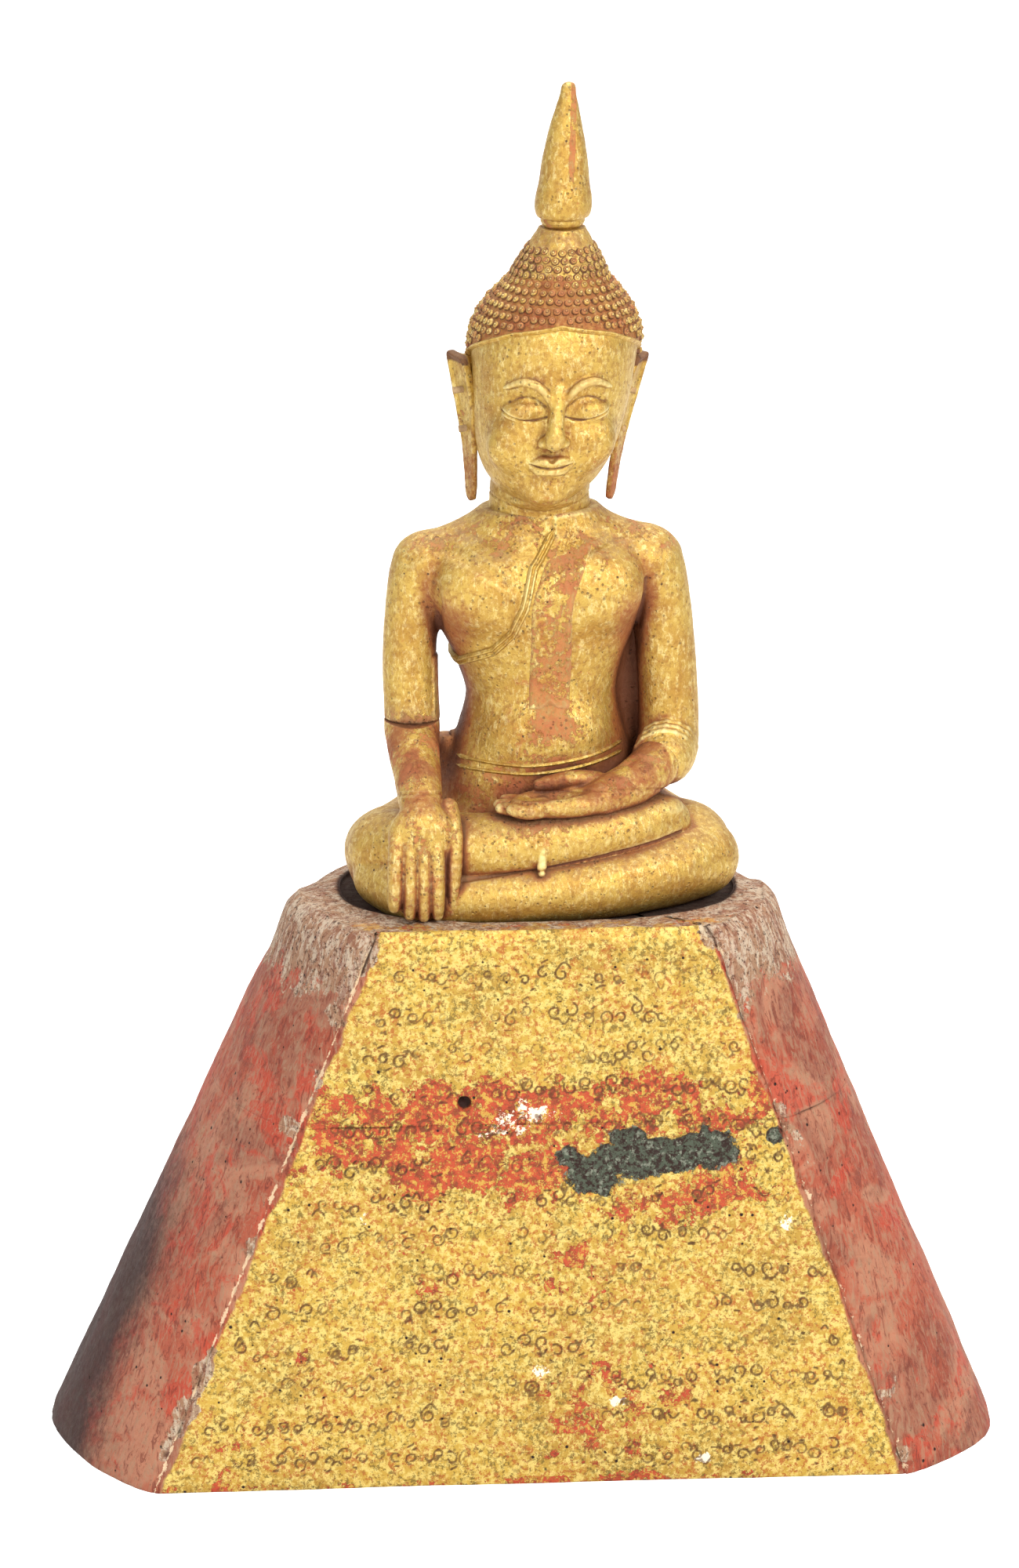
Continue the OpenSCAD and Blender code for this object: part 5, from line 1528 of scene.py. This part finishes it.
def makeEar(side, name, node, tilt, foot):
    fineOutline = smoothPath(np.vstack([earOutline, earOutline[:1]]), 4)[:-1]

    def plate(p):
        # p is [outwards, backwards, up] in the ear's own measures
        flat = outlineDistance(p[:, 1:], fineOutline)
        bow = 0.012 * (p[:, 2] - 26) ** 2 * 0.12
        w = p[:, 0] - ear["thick"] / 2 - bow
        half = ear["thick"] / 2 * (0.75 + 0.25 * ease(20, 45, p[:, 2]))
        hollowOut = 1.1 * ease(0.8, 2.6, -flat) * ease(18, 30, p[:, 2]) * (w > 0)
        root = softer(np.abs(p[:, 0] + 3.5) - 5,
                      softer(np.abs(p[:, 1] - 1.5) - 4.5, np.abs(p[:, 2] - 39) - 14.2, 3, -1), 1.2, -1)
        return softer(softer(flat, np.abs(w) - half + hollowOut, 1.1, -1), root, 1.5)

    points, quads = castClay(plate, (-10, -9, -2), (8, 12, 56), 0.4)
    normal = facing(points, quads)
    push = layeredNoise(points, 7, 141 + side, 3) * 0.2 + layeredNoise(points, 2, 143, 2) * 0.08
    points = points + normal * push[:, None]
    wear = 0.25 + 0.6 * ease(26, 8, points[:, 2]) * (1 if side > 0 else 0.4)
    dark = ease(49.5, 52.5, points[:, 2]) * ease(0.5, 3, points[:, 0])
    hollow = np.maximum(hollowness(points, quads, 5), 0.4 * dark)
    turn = math.radians(ear["yaw"])
    x = points[:, 0] * math.cos(turn) + points[:, 1] * math.sin(turn)
    y = -points[:, 0] * math.sin(turn) + points[:, 1] * math.cos(turn)
    lean = math.radians(tilt)
    placed = np.column_stack([x * math.cos(lean) + points[:, 2] * math.sin(lean), y,
                              points[:, 2] * math.cos(lean) - x * math.sin(lean)])
    placed[:, 0] = side * placed[:, 0]
    placed += foot
    placed[:, 2] += headUp
    quads = outward(placed, quads)
    # painted shade on the lower part of the ear
    makePiece(name, placed + seat, quads, "figure", [node], headGold,
              dict(hollow=hollow, wear=wear, dust=np.zeros(len(points)), paintedShade=0.3 * ease(40, 10, points[:, 2])))


makeEar(-1, "rightEar", "right_ear", ear["rightTilt"], np.array(ear["rightFoot"]))
makeEar(1, "leftEar", "left_ear", ear["leftTilt"], np.array(ear["leftFoot"]))


# finial: a separate bud on a loose peg

def finialBud():
    tall, wide = finialHigh[2] - finialLow[2], 10.1
    rows = smoothPath([(0, 0.6), (0.02, 0.72), (0.05, 0.8), (0.09, 0.94), (0.14, 1), (0.22, 0.98), (0.31, 0.9),
                       (0.45, 0.8),
                       (0.66, 0.6), (0.84, 0.38), (0.92, 0.28), (0.965, 0.25), (0.99, 0.18), (1, 0.05)],
                      12)
    around = 150
    a = np.arange(around) / around * 2 * np.pi
    points = []
    for share, radius in rows:
        swell = 1 + 0.035 * np.cos(2 * a) * ease(0.2, 0.6, share)
        swell = swell + 0.03 * np.exp(-((a - 4.9) / 0.16) ** 2) * ease(0.05, 0.3, share)
        bend = 1.8 * share + 1.2 * max(share - 0.7, 0)
        r = radius * wide * swell
        points.append(np.column_stack([r * np.cos(a) + bend, r * np.sin(a) * 0.98,
                                       np.full(around, share * tall * 1.02)]))
    points = np.vstack(points)
    quads = ringQuads(len(rows), around)
    quads = outward(points, quads)
    normal = facing(points, quads)
    push = layeredNoise(points, 8, 151, 3) * 0.22 + layeredNoise(points, 2.2, 152, 3) * 0.09
    push -= 0.5 * (1 - ease(0, 0.9, np.abs(points[:, 2] - 3.1)))
    points = points + normal * push[:, None]
    points[:, 2] = np.clip(points[:, 2], 0.02, tall * 1.02)
    seam = (np.abs(points[:, 0] - 1.5 - points[:, 2] * 0.05) < 1.1) & (points[:, 1] < 0)
    masks = dict(hollow=hollowness(points, quads, 6), dust=np.zeros(len(points)), paintedShade=np.zeros(len(points)),
                 wear=0.15 + 0.8 * seam * ease(12, 20, points[:, 2]) + 0.4 * ease(5, 1, points[:, 2]))
    n = len(points)
    ends = [np.arange(around)[::-1][None], np.arange(n - around, n)[None]]
    bud = makePiece("finialBud", points + finialFoot, [quads] + ends, "finial", ["finial_bud"],
                    headGold, masks)
    cutBy(bud, [prism(circle * pegHole["inBud"] + finialFoot[:2], finialFoot[2] - 3,
                      finialFoot[2] + pegHole["reach"])])


finialBud()


# floor, light and camera

def makeStage():
    def look(w):
        # kept bright where it is seen, without lighting the piece more
        seen = w.node("LightPath").outputs["Is Camera Ray"]
        return {"Base Color": w.blend(w.between(w.noise(0.5, 2), 0.3, 0.7), (0.86, 0.86, 0.86, 1),
                                      (0.88, 0.88, 0.88, 1)),
                "Roughness": 0.75, "Emission Color": white, "Emission Strength": w.sum("MULTIPLY", seen, 0.4)}

    floor = principled("floor", look)
    mesh = bpy.data.meshes.new("floor")
    reach, back, tall, turn = 7.0, 3.7, 2.6, 1.2
    profile = [(-7.0, 0.0)] + [(back - turn + turn * math.sin(t), turn - turn * math.cos(t))
                               for t in np.linspace(0, math.pi / 2, 16)] + [(back, tall)]
    points = [(x, y, z) for y, z in profile for x in (-reach, reach)]
    faces = [(2 * k, 2 * k + 1, 2 * k + 3, 2 * k + 2) for k in range(len(profile) - 1)]
    mesh.from_pydata(points, [], faces)
    mesh.polygons.foreach_set("use_smooth", [True] * len(faces))
    mesh.materials.append(floor)
    cove = bpy.data.objects.new("floor", mesh)
    bpy.context.scene.collection.objects.link(cove)


makeStage()


def softLight(name, place, aim, size, power, warmth):
    lamp = bpy.data.lights.new(name, "AREA")
    lamp.shape, lamp.size, lamp.energy, lamp.color = "DISK", size, power, warmth
    holder = bpy.data.objects.new(name, lamp)
    holder.location = place
    way = Vector(aim) - Vector(place)
    holder.rotation_euler = way.to_track_quat("-Z", "Y").to_euler()
    bpy.context.scene.collection.objects.link(holder)


softLight("keyLight", (0.9, -1.5, 1.45), (0, 0, 0.25), 0.7, 35, (1, 0.97, 0.92))
softLight("fillLight", (-1.3, -1.5, 0.7), (0, 0, 0.2), 1.2, 12, (0.95, 0.97, 1))
softLight("topLight", (0.1, 0.5, 1.7), (0, 0, 0.2), 0.9, 16, (1, 1, 1))

world = bpy.data.worlds.new("room")
bpy.context.scene.world = world
world.use_nodes = True
sky = Wiring(world.node_tree)
upward = sky.node("SeparateXYZ")
sky.plug(upward.inputs[0], sky.node("TexCoord").outputs["Generated"])
sky.plug(world.node_tree.nodes["Background"].inputs["Strength"],
         sky.between(upward.outputs[2], -0.05, 0.75, 0.22, 1.25))
world.node_tree.nodes["Background"].inputs["Color"].default_value = white

view = dict(distance=2.5, height=16.5, turn=4.0, aim=(-0.0029, 0.0, 0.2422), lens=158.0)


def makeCamera():
    lens = bpy.data.cameras.new("camera")
    lens.lens, lens.sensor_width = view["lens"], 36
    holder = bpy.data.objects.new("camera", lens)
    a, e = math.radians(view["turn"]), math.radians(view["height"])
    way = Vector((math.sin(a) * math.cos(e), math.cos(a) * math.cos(e), -math.sin(e)))
    holder.location = Vector(view["aim"]) - way * view["distance"]
    holder.rotation_euler = way.to_track_quat("-Z", "Y").to_euler()
    bpy.context.scene.collection.objects.link(holder)
    bpy.context.scene.camera = holder


makeCamera()
bpy.context.scene.view_settings.view_transform = "Standard"
